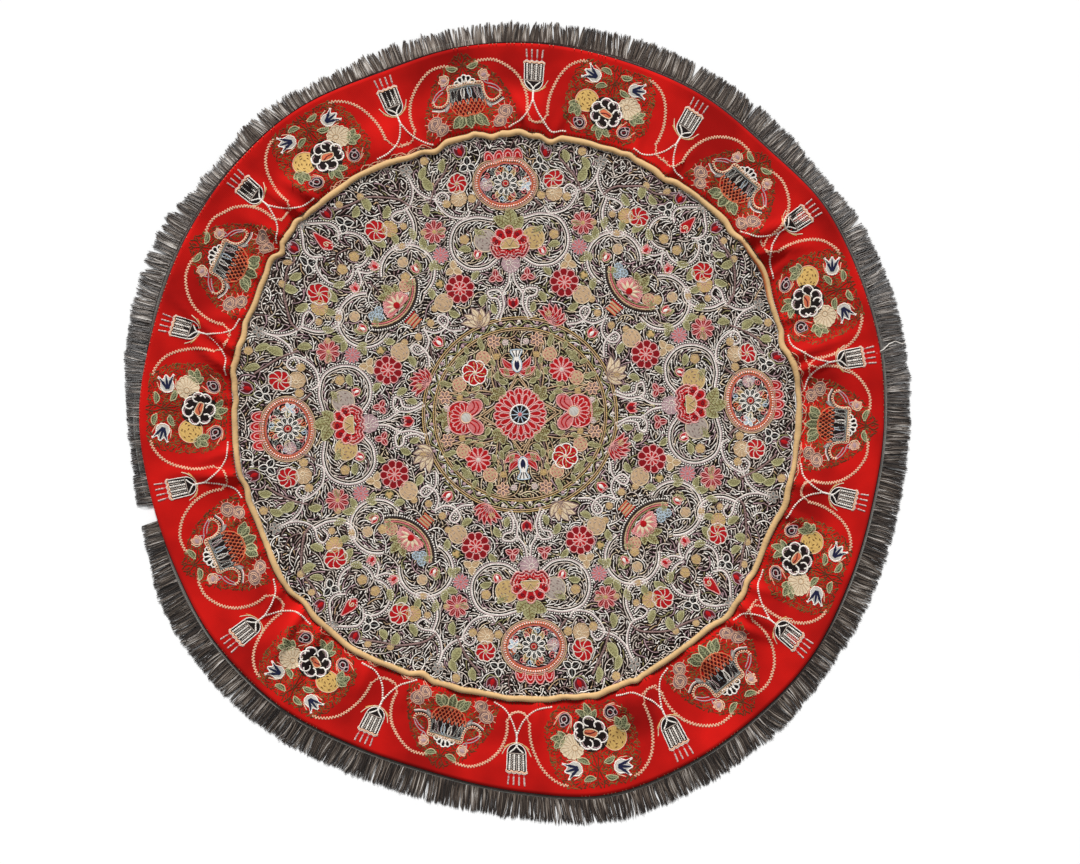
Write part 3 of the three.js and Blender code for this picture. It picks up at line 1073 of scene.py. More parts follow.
@dataclass
class Filler:
    """Works stems, plumes and sprigs wherever a chart is still free, and counts them."""

    chart: Chart
    needle: Needle
    region: Callable[[Array], Array]
    colours: Callable[[Array, np.random.Generator], Dye]
    seed: int
    worked: int = 0

    STEP = 1.4
    WAYS = 14

    def __post_init__(self) -> None:
        """Closes the chart outside the region and starts the source of all choices."""
        self.rng = np.random.default_rng(self.seed)
        taken = self.chart.taken
        cells = np.stack(np.indices(taken.shape), -1).reshape(-1, 2)
        taken |= ~self.region(self.chart.places(cells)).reshape(taken.shape)

    def grown(self, start: Array, angles: Array) -> tuple[Array, Array]:
        """Grows lines from a place until they meet something.

        Args:
            start: The place.
            angles: The heading at each step, one row for each line.

        Returns:
            The lines, and how many of their points are clear.
        """
        lines = start + np.cumsum(polar(1, angles), 1) * self.STEP
        hits = self.chart.taken[self.chart.cells(lines)].reshape(lines.shape[:-1])
        return lines, np.where(hits.any(1), hits.argmax(1), lines.shape[1])

    def clearest(self, start: Array, bend: float, t: Array) -> Array:
        """Grows lines from a place all ways round, bent to either side, and picks the longest clear one.

        Args:
            start: The place.
            bend: How far they turn, in radians.
            t: Share of the turn that is made at each step.

        Returns:
            Its points.
        """
        bends = bend * np.resize((-1, 1), self.WAYS)
        headings = full_circle(self.WAYS) + self.rng.uniform(0, 1)
        lines, reach = self.grown(start, headings[:, None] + bends[:, None] * t)
        best = int(reach.argmax())
        return lines[best, :reach[best]]

    def free_places(self, count: int) -> Array:
        """Free places in a random order, at most as many as asked."""
        cells = np.argwhere(~self.chart.taken)
        chosen = self.rng.permutation(len(cells))[:count]
        return self.chart.places(cells[chosen] + self.rng.uniform(0, 1, (len(chosen), 2)))

    def scatter(self, size: Sprigs) -> None:
        """Works one size of sprig, each from a free place along its clearest way."""
        steps, fewest = max(2, round(size.length / self.STEP)), max(1, round(size.least / self.STEP))
        t = np.linspace(0, 1, steps + 1) ** 1.5
        for start in self.free_places(size.count):
            line = self.clearest(start, math.radians(size.bend) * self.rng.uniform(0.3, 1.1), t)
            if len(line) > fewest:
                width = size.width * self.rng.uniform(0.8, 1.15)
                self.needle.run(line, self.colours(start, self.rng), width, SPRIG, 0.1, taper=0.5)
                self.worked += 1

    def feather(self, stem: Array, off: float, plumes: Plumes) -> None:
        """Works side strokes on both sides of a line.

        Args:
            stem: The line.
            off: How far from it they start.
            plumes: Their size and shape.
        """
        line = evenly(stem, plumes.pitch / 2)
        along, out = np.gradient(line, axis=0), sideways(line)
        headings = np.arctan2(along[:, 1], along[:, 0])
        t = np.linspace(0, 1, max(3, round(plumes.length / self.STEP))) ** 1.4
        for index in range(1, len(line) - 1):
            side = 1 if index % 2 else -1
            lean = math.radians(plumes.spread) * self.rng.uniform(0.8, 1.2)
            turn = math.radians(plumes.curl) * self.rng.uniform(0.6, 1.2)
            angles = headings[index] + side * (lean + turn * t)
            start = line[index] + out[index] * side * off
            lines, reach = self.grown(start, angles[None])
            if reach[0] * self.STEP > plumes.least:
                dye = self.colours(start, self.rng)
                self.needle.run(lines[0, :reach[0]], dye, plumes.width, SPRIG, 0.2, taper=0.4)
                self.worked += 1

    def fronds(self, count: int, length: float, plumes: Plumes) -> None:
        """Works free standing fronds: a curved stem with side strokes.

        Args:
            count: How many are tried.
            length: Length of a stem.
            plumes: Their side strokes.
        """
        t = np.linspace(0, 1, round(length / self.STEP))
        for start in self.free_places(count):
            stem = self.clearest(start, self.rng.uniform(0.6, 2.6), t**1.3)
            if len(stem) > 0.45 * len(t):
                self.needle.run(stem, self.colours(start, self.rng), 2.2, SPRIG, 0.2, taper=0.5)
                self.feather(stem, 1.1 + self.needle.margin + 0.5, plumes)
                self.worked += 1


# ---------------------------------------------------------------- the centre's pattern


SCROLL = ((5.1, WHITE, 2.5, BEADS), (1.7, LILAC, 2.1, FINE), (-0.3, WHITE, 2.1, FINE),
          (-4.6, IVORY, 1.8, FINE))
SLIM_SCROLL = ((3.8, WHITE, 2.4, BEADS), (0.5, LILAC, 1.8, FINE), (-1.3, WHITE, 1.9, FINE))
SAGE_LEAF = Leaf(25, 13.5, SAGE, LIME, OLIVE, veined=True)
RED_BUD = Bud(19, 16, RED, PINK, WHITE, SAGE)
TAN_FRUIT = Disc(12, TAN, PEACH, ROSE, 9)
BLACK_TREFOIL = Trefoil(14, BLACK, WHITE, STEEL)
GREY_STAR = Star(11, STEEL, GREY, 5)
QUARTERS = range(0, 360, 90)


def berry(radius: float) -> Disc:
    """A small creased fruit."""
    return Disc(radius, STRAW, TAN)


class Medallion(Motif):
    """The middle of the pattern: the great daisy in its ring, with a bud or a lotus on each side."""

    STEMS = (
        (((12, 64), (26, 70), (33, 92), (30, 112), (38, 122)), TAN, 2.0),
        (((28, 58), (42, 78), (46, 110), (40, 138)), TAN, 1.8),
        (((46, 42), (72, 46), (98, 40), (124, 46)), TAN, 2.2),
        (((46, 38), (70, 40), (96, 34), (118, 36)), DUSK, 2.2),
    )
    LEAVES = (
        (15, 70, -24, 0.6), (36, 62, 6, 0.6), (20, 56, -60, 0.6), (92, 96, -45, 0.6), (116, 60, -80, 0.6),
        (60, 124, -10, 0.6), (68, 52, -100, 0.5), (88, 40, -60, 0.5), (96, 98, 40, 0.5), (84, 112, -20, 0.5),
    )
    SWINGS = 32
    VINE = 160

    def work(self, needle: Needle) -> None:
        """Works the daisy, the four quarters round it and the ring."""
        needle.add(Daisy(46, 16, RED, PINK, RED, 0.56, PINK, 1.15))
        needle.add(Daisy(37, 16, RED, PINK, BLACK, 0.5, None, 0.86, high=0.9))
        needle.satin(circle(0, 0, 18), BLACK, 2.0, 0.1)
        needle.run(circle(0, 0, 17), WHITE, 2.6, lift=2.2, closed=True)
        for angle in range(0, 360, 36):
            needle.fine(arc(0, 0, 1, angle, angle + 1)[[0, 0]] * [[5], [14]], SKY, 1.6, 2.2)
        needle.satin(circle(0, 0, 4), ROSE, 2.3)
        for _ in needle.turned(QUARTERS):
            needle.add(Spray(sage(21, 13), 3, 90), 31, 31, -45)
            for arrow in ([(-17, 44), (0, 72), (17, 44)], [(-13, 44 + 8 / 3), (0, 64), (13, 44 + 8 / 3)]):
                needle.run(arrow, TAN, 2.1)
            for _ in needle.mirrored():
                self.work_side(needle)
        flowers = Daisy(22, 11, RED, PINK, IVORY, 0.22, slim=1.3), Pinwheel(22.5, 7, RED, WHITE, CREAM, STRAW)
        for turn in needle.turned(QUARTERS):
            needle.figures(((TAN_FRUIT, 59, 103), (TAN_FRUIT, 103, 59), (flowers[turn // 90 % 2], 78, 75)))
        for turn in needle.turned(QUARTERS):
            if turn % 180:
                self.work_lotus(needle)
            else:
                self.work_crowned_bud(needle)
        self.work_ring(needle)

    def work_side(self, needle: Needle) -> None:
        """Works the stems, leaves and small flowers of half a quarter."""
        for path, dye, width in self.STEMS:
            needle.run(smooth(path), dye, width)
        needle.scatter(SAGE_LEAF, self.LEAVES)
        needle.add(Star(12, DUSK, PEACH), 38, 130)
        needle.add(Disc(5, STRAW, STRAW), 104, 35)
        needle.add(Disc(5, MAUVE, IVORY), 18, 128)

    def work_crowned_bud(self, needle: Needle) -> None:
        """Works the blue-hearted bud between its four red petals."""
        for flip in (False, True):
            with needle.placed(0, 73, flip=flip):
                needle.add(Leaf(31, 13, RED, PINK, ROSE), 2, 2, -76)
                needle.add(Leaf(30, 12, RED, PINK, ROSE), 3, 6, -46)
        cup = [(0, 75), (7, 80), (8, 92), (5, 101), (10, 113), (-10, 113), (-5, 101), (-8, 92), (-7, 80)]
        needle.patch(smooth(cup, True), WHITE, SKY, 1.9, 1.0, 1.3)
        heart = [(0, 78), (4.5, 86), (2.5, 96), (0, 92), (-2.5, 96), (-4.5, 86)]
        needle.satin(smooth(heart, True), NAVY, 1.6)
        for x in (-5, 0, 5):
            needle.fine([(x * 0.7, 104), (x * 1.3, 111)], NIGHT, 1.8, 1.6)

    def work_lotus(self, needle: Needle) -> None:
        """Works the lotus with its grey disc and its three pointed leaf."""
        needle.add(Spray(sage(24, 14), 3, 110), 0, 124, scale=0.92)
        bell = [(0, 84), (17, 84), (27, 94), (28, 110), (20, 123)]
        bell += [(0, 127), (-20, 123), (-28, 110), (-27, 94), (-17, 84)]
        needle.patch(smooth(bell, True), RED, PINK, 2.4, 0.5, 0.9, 1.0)
        for _ in needle.turned((-74, -50, -30, -10, 10, 30, 50, 74), 0, 95):
            needle.curve([(0, 9), (-3.6, 20), (0, 28), (3.6, 20), (0, 9)], PINK, 1.9, 1.3)
        for _ in needle.mirrored():
            wing = [(0, 88), (5, 77), (11, 69), (21, 65), (30, 70), (30, 82), (20, 91), (8, 93)]
            needle.patch(smooth(wing, True), ROSE, PINK, 2.2, 1.2, 1.5)
            for fold in (((5, 84), (10, 76), (18, 72), (25, 75)), ((10, 87), (15, 81), (21, 79), (26, 81))):
                needle.curve(fold, RED, 2.4, 1.7)
        needle.satin(circle(0, 95, 9), SILVER, 1.9)
        needle.fine(circle(0, 95, 9.5), PEACH, 1.8, 2.1, True)

    def work_ring(self, needle: Needle) -> None:
        """Works the ring: two double lines with a vine of dots swinging between them."""
        for radius, dye in ((149, TAN), (152.5, STRAW), (168, TAN), (171.5, STRAW)):
            needle.fine(circle(0, 0, radius), dye, 1.9, closed=True)
        angles = full_circle(self.SWINGS * 8)
        needle.fine(polar(self.VINE + 5 * np.sin(angles * self.SWINGS), angles), SAGE, 1.9, closed=True)
        for index in range(2 * self.SWINGS):
            angle = FULL_TURN * (index + 0.5) / (2 * self.SWINGS)
            radius = self.VINE + (3.6 if index % 2 else -3.6)
            dot = circle(radius * math.cos(angle), radius * math.sin(angle), 3.2, step=3)
            needle.satin(dot, MAUVE if index % 3 else IVORY, 0.4, 0.8)


class Cartouche(Motif):
    """The oval frame on each axis, with a white daisy in it, its middle at the origin."""

    ACROSS, UP = 57, 46.5
    RIMS = (
        (0, TAN, 2.2, FINE, 0.35), (-2.8, DUSTY, 2.2, FINE, 0.35), (-6.2, ORANGE, 4.2, CHAIN, 0.35),
        (-6.2, WHITE, 3.4, BEADS, 0.7), (-9.8, ORANGE, 1.7, FINE, 0.35), (-11.6, ROSE, 1.4, FINE, 0.35),
    )
    LEAVES = (
        (SAGE, -27, 0, 90), (SAGE, 27, 0, -90), (OLIVE, 0, 17, 0), (OLIVE, 0, -17, 180),
        (ROSE, -12, 15, 35), (STRAW, 12, 15, -35), (STRAW, -12, -15, 145), (ROSE, 12, -15, -145),
    )

    def work(self, needle: Needle) -> None:
        """Works the frame, its flowers and the scallops outside it."""
        for inset, dye, width, row, lift in self.RIMS:
            oval = circle(0, 0, self.ACROSS + inset, (self.UP + inset) / (self.ACROSS + inset))
            needle.run(oval, dye, width, row, lift, True)
        for dye, x, y, turn in self.LEAVES:
            needle.add(Leaf(15, 9, dye, CREAM, SOOT), x * 0.75, y * 0.8, turn)
        needle.add(Star(12, SKY, WHITE, 5), 34, -4)
        needle.add(Shell(10, MAUVE, IVORY, 8), -34, -2)
        for index in range(16):
            angle = FULL_TURN * (index + 0.5) / 16
            x, y = (self.ACROSS - 19) * math.cos(angle), (self.UP - 19) * math.sin(angle)
            dye = (ORANGE, STEEL, ROSE, SKY)[index % 4]
            needle.fine(curl(x, y, 5.5, math.degrees(angle) + 90, 420, 0.25), dye, 1.7, 0.5)
        needle.add(Daisy(20, 10, BLACK, WHITE, BLACK, 0.45, STEEL, 0.85, high=0.5))
        needle.satin(circle(0, 0, 6), RED, 1.6)
        needle.fine(circle(0, 0, 4), DUSTY, 1.6, 2.3, True)
        for x in (-25, -8.5, 8.5, 25):
            y = self.UP + 3 - abs(x) / 5
            lobe = arc(x, y, 8.6, -15, 195, squash=1.5)
            needle.satin(lobe, RED, 0.5)
            needle.fine(lobe, PINK, 2.0, 0.9)
            needle.fine(arc(x, y, 4.6, 0, 180, squash=1.6), PINK, 1.6, 1.1)


class Vessel(Motif):
    """The boat shaped vessel of flowers between two scrolls, upright on its foot at the origin."""

    FOOT = ((-24, 9, ORANGE), (-18, 8, RED), (-12, 9, ORANGE), (-6, 11, RED))
    HULL = ((0, WHITE, 3.0, BEADS), (4, SOOT, 2.0, CHAIN), (7.5, TAN, 2.8, CHAIN), (11, ROSE, 2.8, CHAIN),
            (14.5, OLIVE, 2.4, CHAIN))

    def work(self, needle: Needle) -> None:
        """Works the foot, the hull and the flowers in it."""
        needle.satin(np.array([(-9, -25), (9, -25), (12, -6), (-12, -6)]), TAN)
        for y, half, dye in self.FOOT:
            needle.fine([(-half, y), (half, y)], dye, 2.6, 0.9)
        for distance, dye, width, row in self.HULL:
            needle.run(beside(arc(0, 72, 75, 217, 322), distance), dye, width, row)
        needle.add(Spray(sage(27, 14), 3, 100), 4, 38, -8)
        needle.add(Disc(11, TAN, PEACH, ROSE, 8), 36, 36)
        needle.add(berry(8), 47, 46)
        needle.scatter(Disc(7, STEEL, SKY), ((-36, 34), (-28, 42), (-42, 44)))
        with needle.placed(0, 22):
            needle.satin(arc(0, 0, 25, -12, 192), ROSE, 0.5)
            for turn in (-76, -46, -15, 15, 46, 76):
                needle.add(Bud(27, 13, RED if abs(turn) < 30 else ROSE, PINK, CREAM), turn=turn)
            needle.satin(circle(0, 3, 6), RED, 1.5)


class AxisScroll(Motif):
    """The right half of the scrollwork and flowers that stand on an axis."""

    SCROLLS = (
        (((3, 258), (6, 233), (18, 213), (17, 194), (26, 168)), SLIM_SCROLL),
        (((18, 213), (26, 222), (44, 219), (40, 208), (27, 204), (24, 186), (32, 172)), SLIM_SCROLL),
        (((28, 345), (58, 350), (89, 340), (103, 312), (98, 282), (74, 262), (44, 262), (24, 275)), SCROLL),
        (((67, 361), (75, 351), (100, 355), (117, 371), (124, 388), (112, 399), (102, 390), (110, 380),
          (124, 385)), SLIM_SCROLL),
        (((124, 388), (143, 394), (158, 408), (169, 431)), SLIM_SCROLL),
        (((169, 431), (163, 410), (165, 390), (176, 372), (194, 366), (203, 356), (190, 348), (180, 356)),
         SLIM_SCROLL),
        (((176, 372), (167, 350), (167, 330), (175, 311), (190, 302), (202, 305), (198, 313)), SCROLL),
    )
    FLOWERS = (
        (Rosette(25, CRIMSON, RED, PINK), 92, 227),
        (Disc(16, TAN, CREAM, GREY, 9), 122, 204),
        (Trefoil(14, TAN, CREAM, STRAW), 101, 262),
        (Disc(7, STRAW, OLIVE, BLACK, 4), 127, 238),
        (Daisy(14, 11, ROSE, MAUVE, ROSE, 0.3), 122, 288),
        (Daisy(20, 9, CRIMSON, PINK, STRAW, 0.26, ROSE), 131, 330),
        (Trefoil(12, CRIMSON, PINK, PINK), 28, 244),
        (berry(8), 79, 313),
        (RED_BUD, 60, 278, 20, 0.8),
        (SAGE_LEAF, 40, 318, -60, 0.9),
        (SAGE_LEAF, 88, 296, 100, 0.8),
        (Pinwheel(18, 8, RED, IVORY, STRAW, None, 0.35), 85, 412),
        (Shell(14, TAN, CREAM, 9), 84, 386),
        (BLACK_TREFOIL, 64, 441),
        (Bud(22, 19, WINE, MAUVE, RED, SAGE), 72, 456, -20),
        (berry(7), 61, 384), (berry(7), 106, 378), (berry(7), 139, 456),
        (berry(6), 60, 174), (berry(6), 147, 170), (berry(5), 150, 330),
    )
    LEAVES = (
        (128, 405, -30, 1.1), (146, 424, 20, 0.9), (112, 334, -110, 0.7), (56, 196, 30, 0.8),
        (140, 262, 30, 0.8), (148, 300, -10, 0.9), (96, 180, -60, 0.8), (140, 358, 0, 0.9),
        (110, 440, 10, 0.9), (205, 330, 160, 0.8), (68, 242, 40, 0.7), (30, 180, -20, 0.7),
    )

    def work(self, needle: Needle) -> None:
        """Works the scrolls first and then the flowers."""
        for path, rows in self.SCROLLS:
            needle.band(smooth(path, step=5), rows)
        needle.add(GREY_STAR, 171, 437)
        needle.satin(smooth([(188, 352), (196, 358), (200, 354), (192, 349)], True), BLACK)
        needle.figures(self.FLOWERS)
        needle.scatter(SAGE_LEAF, self.LEAVES)


class RimBranches(Motif):
    """Dusky boughs that swing out to the rim on the right of an axis."""

    PATHS = (
        ((172, 378), (186, 387), (210, 390), (239, 389), (264, 379), (292, 368)),
        ((134, 384), (131, 392), (125, 408), (111, 431), (99, 447)),
        ((58, 366), (50, 376), (44, 390)),
    )

    def work(self, needle: Needle) -> None:
        """Works each bough as one row."""
        for path in self.PATHS:
            needle.band(smooth(path), ((0, DUSK, 3.6, CHAIN),))


@dataclass(frozen=True)
class AxisFlower(Motif):
    """The great lotus on an axis, with a heart shaped bud below it and a fruit on each side."""

    left: Dye
    right: Dye

    PETAL = ((-3, 12), (-8, 24), (-5, 32), (1, 35), (7, 31), (8, 22), (3, 12))
    FRILL = ((0, 277), (7, 273), (14, 279), (22, 276), (30, 284), (35, 296), (31, 306))
    FRILL_ROWS = ((0, PINK, 2.4), (2.6, CRIMSON, 2.6), (5.4, PINK, 2.2), (8.2, RED, 3.0), (11, PINK, 2.2),
                  (13.8, RED, 3.0))

    def work(self, needle: Needle) -> None:
        """Works the leaves, the fruits, the petals, the frills and the dome."""
        needle.add(Spray(sage(34, 21), 3, 105), 0, 328)
        needle.add(Shell(16, MAUVE, IVORY, 9), 0, 266)
        needle.add(Disc(20, self.left, CREAM, DUSK, 10), -42, 309)
        needle.add(Disc(20, self.right, CREAM, DUSK, 10), 42, 309)
        needle.add(Bud(19, 18, RED, PINK, WINE), 0, 187)
        for _ in needle.turned((-70, 70, -38, 38, 0), 0, 298):
            needle.patch(smooth(self.PETAL, True), RED, PINK, 2.3, 0.6, 1.0)
            needle.fine(curl(0, 25, 3.6, 200, 300, 0.3), WINE, 1.9, 1.2)
        for _ in needle.mirrored():
            for lower, dye, width in self.FRILL_ROWS:
                needle.run(beside(smooth(self.FRILL), lower), dye, width, lift=0.6)
        dome = np.vstack((arc(0, 297, 16, 0, 180, squash=0.9), [(-15, 293), (15, 293)]))
        needle.patch(dome, STRAW, CREAM, 1.8, 1.0, 1.4)
        needle.fine([(-6, 307), (0, 298), (6, 307)], TAN, 2.0, 1.9)


class DiagonalScroll(Motif):
    """The scrollwork between two axes, right of the diagonal, drawn with the diagonal along Y."""

    PATHS = (
        ((0, 226), (8, 208), (24, 200), (40, 205), (40, 218), (30, 219), (27, 208), (30, 190), (42, 176)),
        ((0, 380), (10, 365), (28, 359), (48, 361)),
        ((0, 486), (12, 476), (31, 458), (32, 443), (22, 433)),
    )
    FLOWERS = (
        (berry(8), 15, 399),
        (RED_BUD, 68, 300, -20, 0.85),
        (Disc(9, TAN, CREAM, GREY, 5), 64, 332),
        (SAGE_LEAF, 50, 290, 40, 0.7),
        (SAGE_LEAF, 82, 316, 160, 0.7),
        (Pinwheel(18.5, 8, RED, IVORY, STRAW, None, 0.35), 74, 400),
        (Shell(13, STRAW, DUSTY, 9), 92, 386),
        (BLACK_TREFOIL, 46, 442),
        (Bud(20, 17, WINE, MAUVE, RED, SAGE), 38, 462, -12),
        (Bud(17, 14, ROSE, PINK, RED, SAGE), 27, 356, 10),
    )
    LEAVES = (
        (64, 372, 20, 0.9), (100, 404, -70, 0.9), (92, 428, -20, 1.0), (66, 440, -70, 0.8),
        (30, 384, -60, 0.8), (106, 344, -30, 0.8), (108, 318, -120, 0.8), (96, 290, -160, 0.7),
        (50, 250, -30, 0.8),
    )
    BERRIES = ((112, 372), (66, 468), (100, 452), (40, 236), (84, 352))

    def work(self, needle: Needle) -> None:
        """Works the scroll beside the vessel, the heart, the bridge, the outer cartouche and the flowers."""
        needle.band(arc(57, 314, 47, 140, -100), SCROLL)
        needle.band(arc(20, 409, 29, 75, -125), SLIM_SCROLL)
        for path in self.PATHS:
            needle.band(smooth(path), SLIM_SCROLL)
        needle.run(curl(9, 433, 8, 20, -400, 0.2), WHITE, 2.6, BEADS)
        needle.figures(self.FLOWERS)
        needle.scatter(SAGE_LEAF, self.LEAVES)
        needle.scatter(berry(5.5), self.BERRIES)


class DiagonalFlower(Motif):
    """What stands on a diagonal: a small heart, the vessel, and the teardrop in the outer cartouche."""

    def work(self, needle: Needle) -> None:
        """Works them from the middle outwards."""
        needle.add(RED_BUD, 0, 182)
        needle.add(Vessel(), 0, 265)
        drop = smooth([(0, 428), (9, 437), (6, 450), (1, 463), (-6, 450), (-9, 437)], True)
        needle.patch(drop, RED, PINK, 1.8, 0.6, 0.9)
        needle.fine(curl(0, 438, 5, 0, 400, 0.2), CREAM, 1.8, 1.2)
        needle.add(GREY_STAR, 0, 486)


class CentrePattern:
    """All the embroidery of the centre panel: flowers, scrolls and the filling between them."""

    REACH = 492
    RING = 149
    PALE = 395
    FAN = Spray(Leaf(31, 10, RED, PINK, WINE), 7, 120)
    PALE_FAN = Spray(Leaf(33, 14, CREAM, DUSK, TAN), 5, 112)
    SIZES = (
        Sprigs(3000, 13, 8, 360, 1.8), Sprigs(9000, 8.5, 5, 320, 1.9), Sprigs(18000, 5.6, 2.8, 240, 2.0),
        Sprigs(36000, 3, 1.4, 90, 2.1),
    )
    SCROLL_PLUMES = Plumes(7.5, 16, 4, 14, 58, 2.0)
    STEM_PLUMES = Plumes(6.5, 14, 4, 34, -30, 2.0)
    FROND_PLUMES = Plumes(6, 8, 3.5, 48, 30, 1.9)
    COLOURS = (
        (RING, (TAN, SAGE, CREAM, IVORY, LIME, MAUVE), (0.22, 0.12, 0.32, 0.16, 0.12, 0.06)),
        (PALE, (WHITE, IVORY, GREY, MAUVE, CREAM, DUSK, SAGE), (0.4, 0.3, 0.05, 0.13, 0.08, 0.01, 0.03)),
        (math.inf, (IVORY, WHITE, GREY, DUSK, MAUVE, OLIVE, TAN), (0.38, 0.32, 0.05, 0.05, 0.12, 0.04, 0.04)),
    )

    def __init__(self) -> None:
        """Draws the whole pattern."""
        reach = self.REACH + 4
        chart = Chart(reach, -reach, reach, 0.7)
        self.scrolls, self.flowers, self.plumes, self.filling = (Needle(chart, 1.0) for _ in range(4))
        self.flowers.add(Medallion())
        for turn in QUARTERS:
            self.work_axis(turn)
            with self.scrolls.placed(turn=turn - 45), self.flowers.placed(turn=turn - 45):
                self.scrolls.pair(DiagonalScroll())
                self.flowers.add(DiagonalFlower())
        self.plumes.margin = self.filling.margin = 1.95
        leafy = Filler(chart, self.plumes, self.inside, self.colour, seed=40)
        for needle, plumes in ((self.scrolls, self.SCROLL_PLUMES), (self.flowers, self.STEM_PLUMES)):
            for line, off in needle.spines:
                leafy.feather(line, off + 2.6, plumes)
        leafy.fronds(2600, 34, self.FROND_PLUMES)
        seeds = Filler(chart, self.filling, self.inside, self.colour, seed=41)
        for size in self.SIZES:
            seeds.scatter(size)
        log.info("centre: %d plumes and fronds, %d sprigs", leafy.worked, seeds.worked)

    def work_axis(self, turn: float) -> None:
        """Works what stands on one axis, and both its sides."""
        with self.scrolls.placed(turn=turn), self.flowers.placed(turn=turn):
            self.scrolls.pair(AxisScroll())
            self.flowers.pair(RimBranches())
            self.flowers.add(AxisFlower(STRAW, GREY) if turn % 180 else AxisFlower(GREY, STRAW))
            self.flowers.add(Cartouche(), 0, 407)
            self.flowers.add(self.FAN, 62, 158, -21)
            self.flowers.add(self.PALE_FAN, -62, 158, 21)

    def inside(self, points: Array) -> Array:
        """Whether points lie inside the panel's rim."""
        return np.hypot(*points.T) < self.REACH

    def colour(self, place: Array, rng: np.random.Generator) -> Dye:
        """Chooses a sprig's thread: golden within the ring, pale between the scrolls, dusky near the rim.

        Args:
            place: Where the sprig starts.
            rng: Source of the choice.

        Returns:
            The thread.
        """
        radius = math.hypot(*place)
        choices, weights = next(rest for reach, *rest in self.COLOURS if radius < reach)
        return choices[int(rng.choice(len(choices), p=weights))]


@dataclass(frozen=True)
class Roundel:
    """A figure of the border with the tendrils round it, worked on its own chart."""

    figure: Motif
    widths: Table
    rickrack: Rickrack
    seed: int

    SIZES = Sprigs(5000, 11, 7, 420, 2.2), Sprigs(8000, 7, 4, 340, 2.3), Sprigs(6000, 3.4, 1.5, 150, 2.5)

    def within(self, points: Array) -> Array:
        """Whether points lie in the roundel."""
        across, up = points.T
        return (up > 6) & (up < 140) & (np.abs(across) < np.interp(up, *np.array(self.widths, float).T))

    def colour(self, _place: Array, rng: np.random.Generator) -> Dye:
        """Brown stems with a few green leaves."""
        return MOSS if rng.random() < 0.45 else BARK

    def worked(self) -> Needle:
        """Draws the figure, its tendrils and its frame.

        Returns:
            The needle that holds them.
        """
        needle = Needle(Chart(130, -10, 160), 1.6)
        needle.add(self.figure)
        needle.margin = 1.0
        filler = Filler(needle.chart, needle, self.within, self.colour, self.seed)
        for size in self.SIZES:
            filler.scatter(size)
        needle.add(self.rickrack)
        return needle


# ---------------------------------------------------------------- how the cover lies


class Ring:
    """The corners of a node that goes all the way round, sorted by the stations it was laid at."""

    NEAR = 0.04
    LEAST_RADIUS = 0.1

    def __init__(self, node: str, stations: int) -> None:
        """Reads a node's corners.

        Args:
            node: Its name.
            stations: How many stations it was laid at.
        """
        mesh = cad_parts[node].data
        corners = np.empty(len(mesh.vertices) * 3)
        mesh.vertices.foreach_get("co", corners)
        corners = np.unique(corners.reshape(-1, 3).round(6), axis=0)
        radii = np.hypot(corners[:, 0], corners[:, 1])
        places = np.arctan2(corners[:, 1], corners[:, 0]) / FULL_TURN * stations
        nearest = np.round(places)
        on_station = (np.abs(places - nearest) < self.NEAR) & (radii > self.LEAST_RADIUS)
        self.rows = []
        for station in range(stations):
            mine = on_station & (nearest.astype(int) % stations == station)
            order = np.lexsort((corners[mine, 2], radii[mine]))
            self.rows.append(np.column_stack((radii[mine], corners[mine, 2]))[order])

    def across(self, pick: Callable[[Array], float]) -> Array:
        """A value for each station, carried across stations where the ring is cut away.

        Args:
            pick: Reads the value from a station's rows of radius and height.

        Returns:
            One value for each station.
        """
        values = np.array([pick(rows) if len(rows) else np.nan for rows in self.rows])
        known = np.flatnonzero(~np.isnan(values))
        return np.interp(np.arange(len(values)), known, values[known], period=len(values))

    def inner(self) -> Array:
        """The least radius at each station."""
        return self.across(lambda rows: rows[0, 0])

    def outer(self) -> Array:
        """The greatest radius at each station."""
        return self.across(lambda rows: rows[-1, 0])


@dataclass(frozen=True)
class Pucker:
    """A short fold pressed in beside the seam.

    Its bearing and half width are in degrees and its height in metres; reach is its share of the border's
    depth, and lean how it slants.
    """

    bearing: float
    half_width: float
    height: float
    reach: float
    lean: float


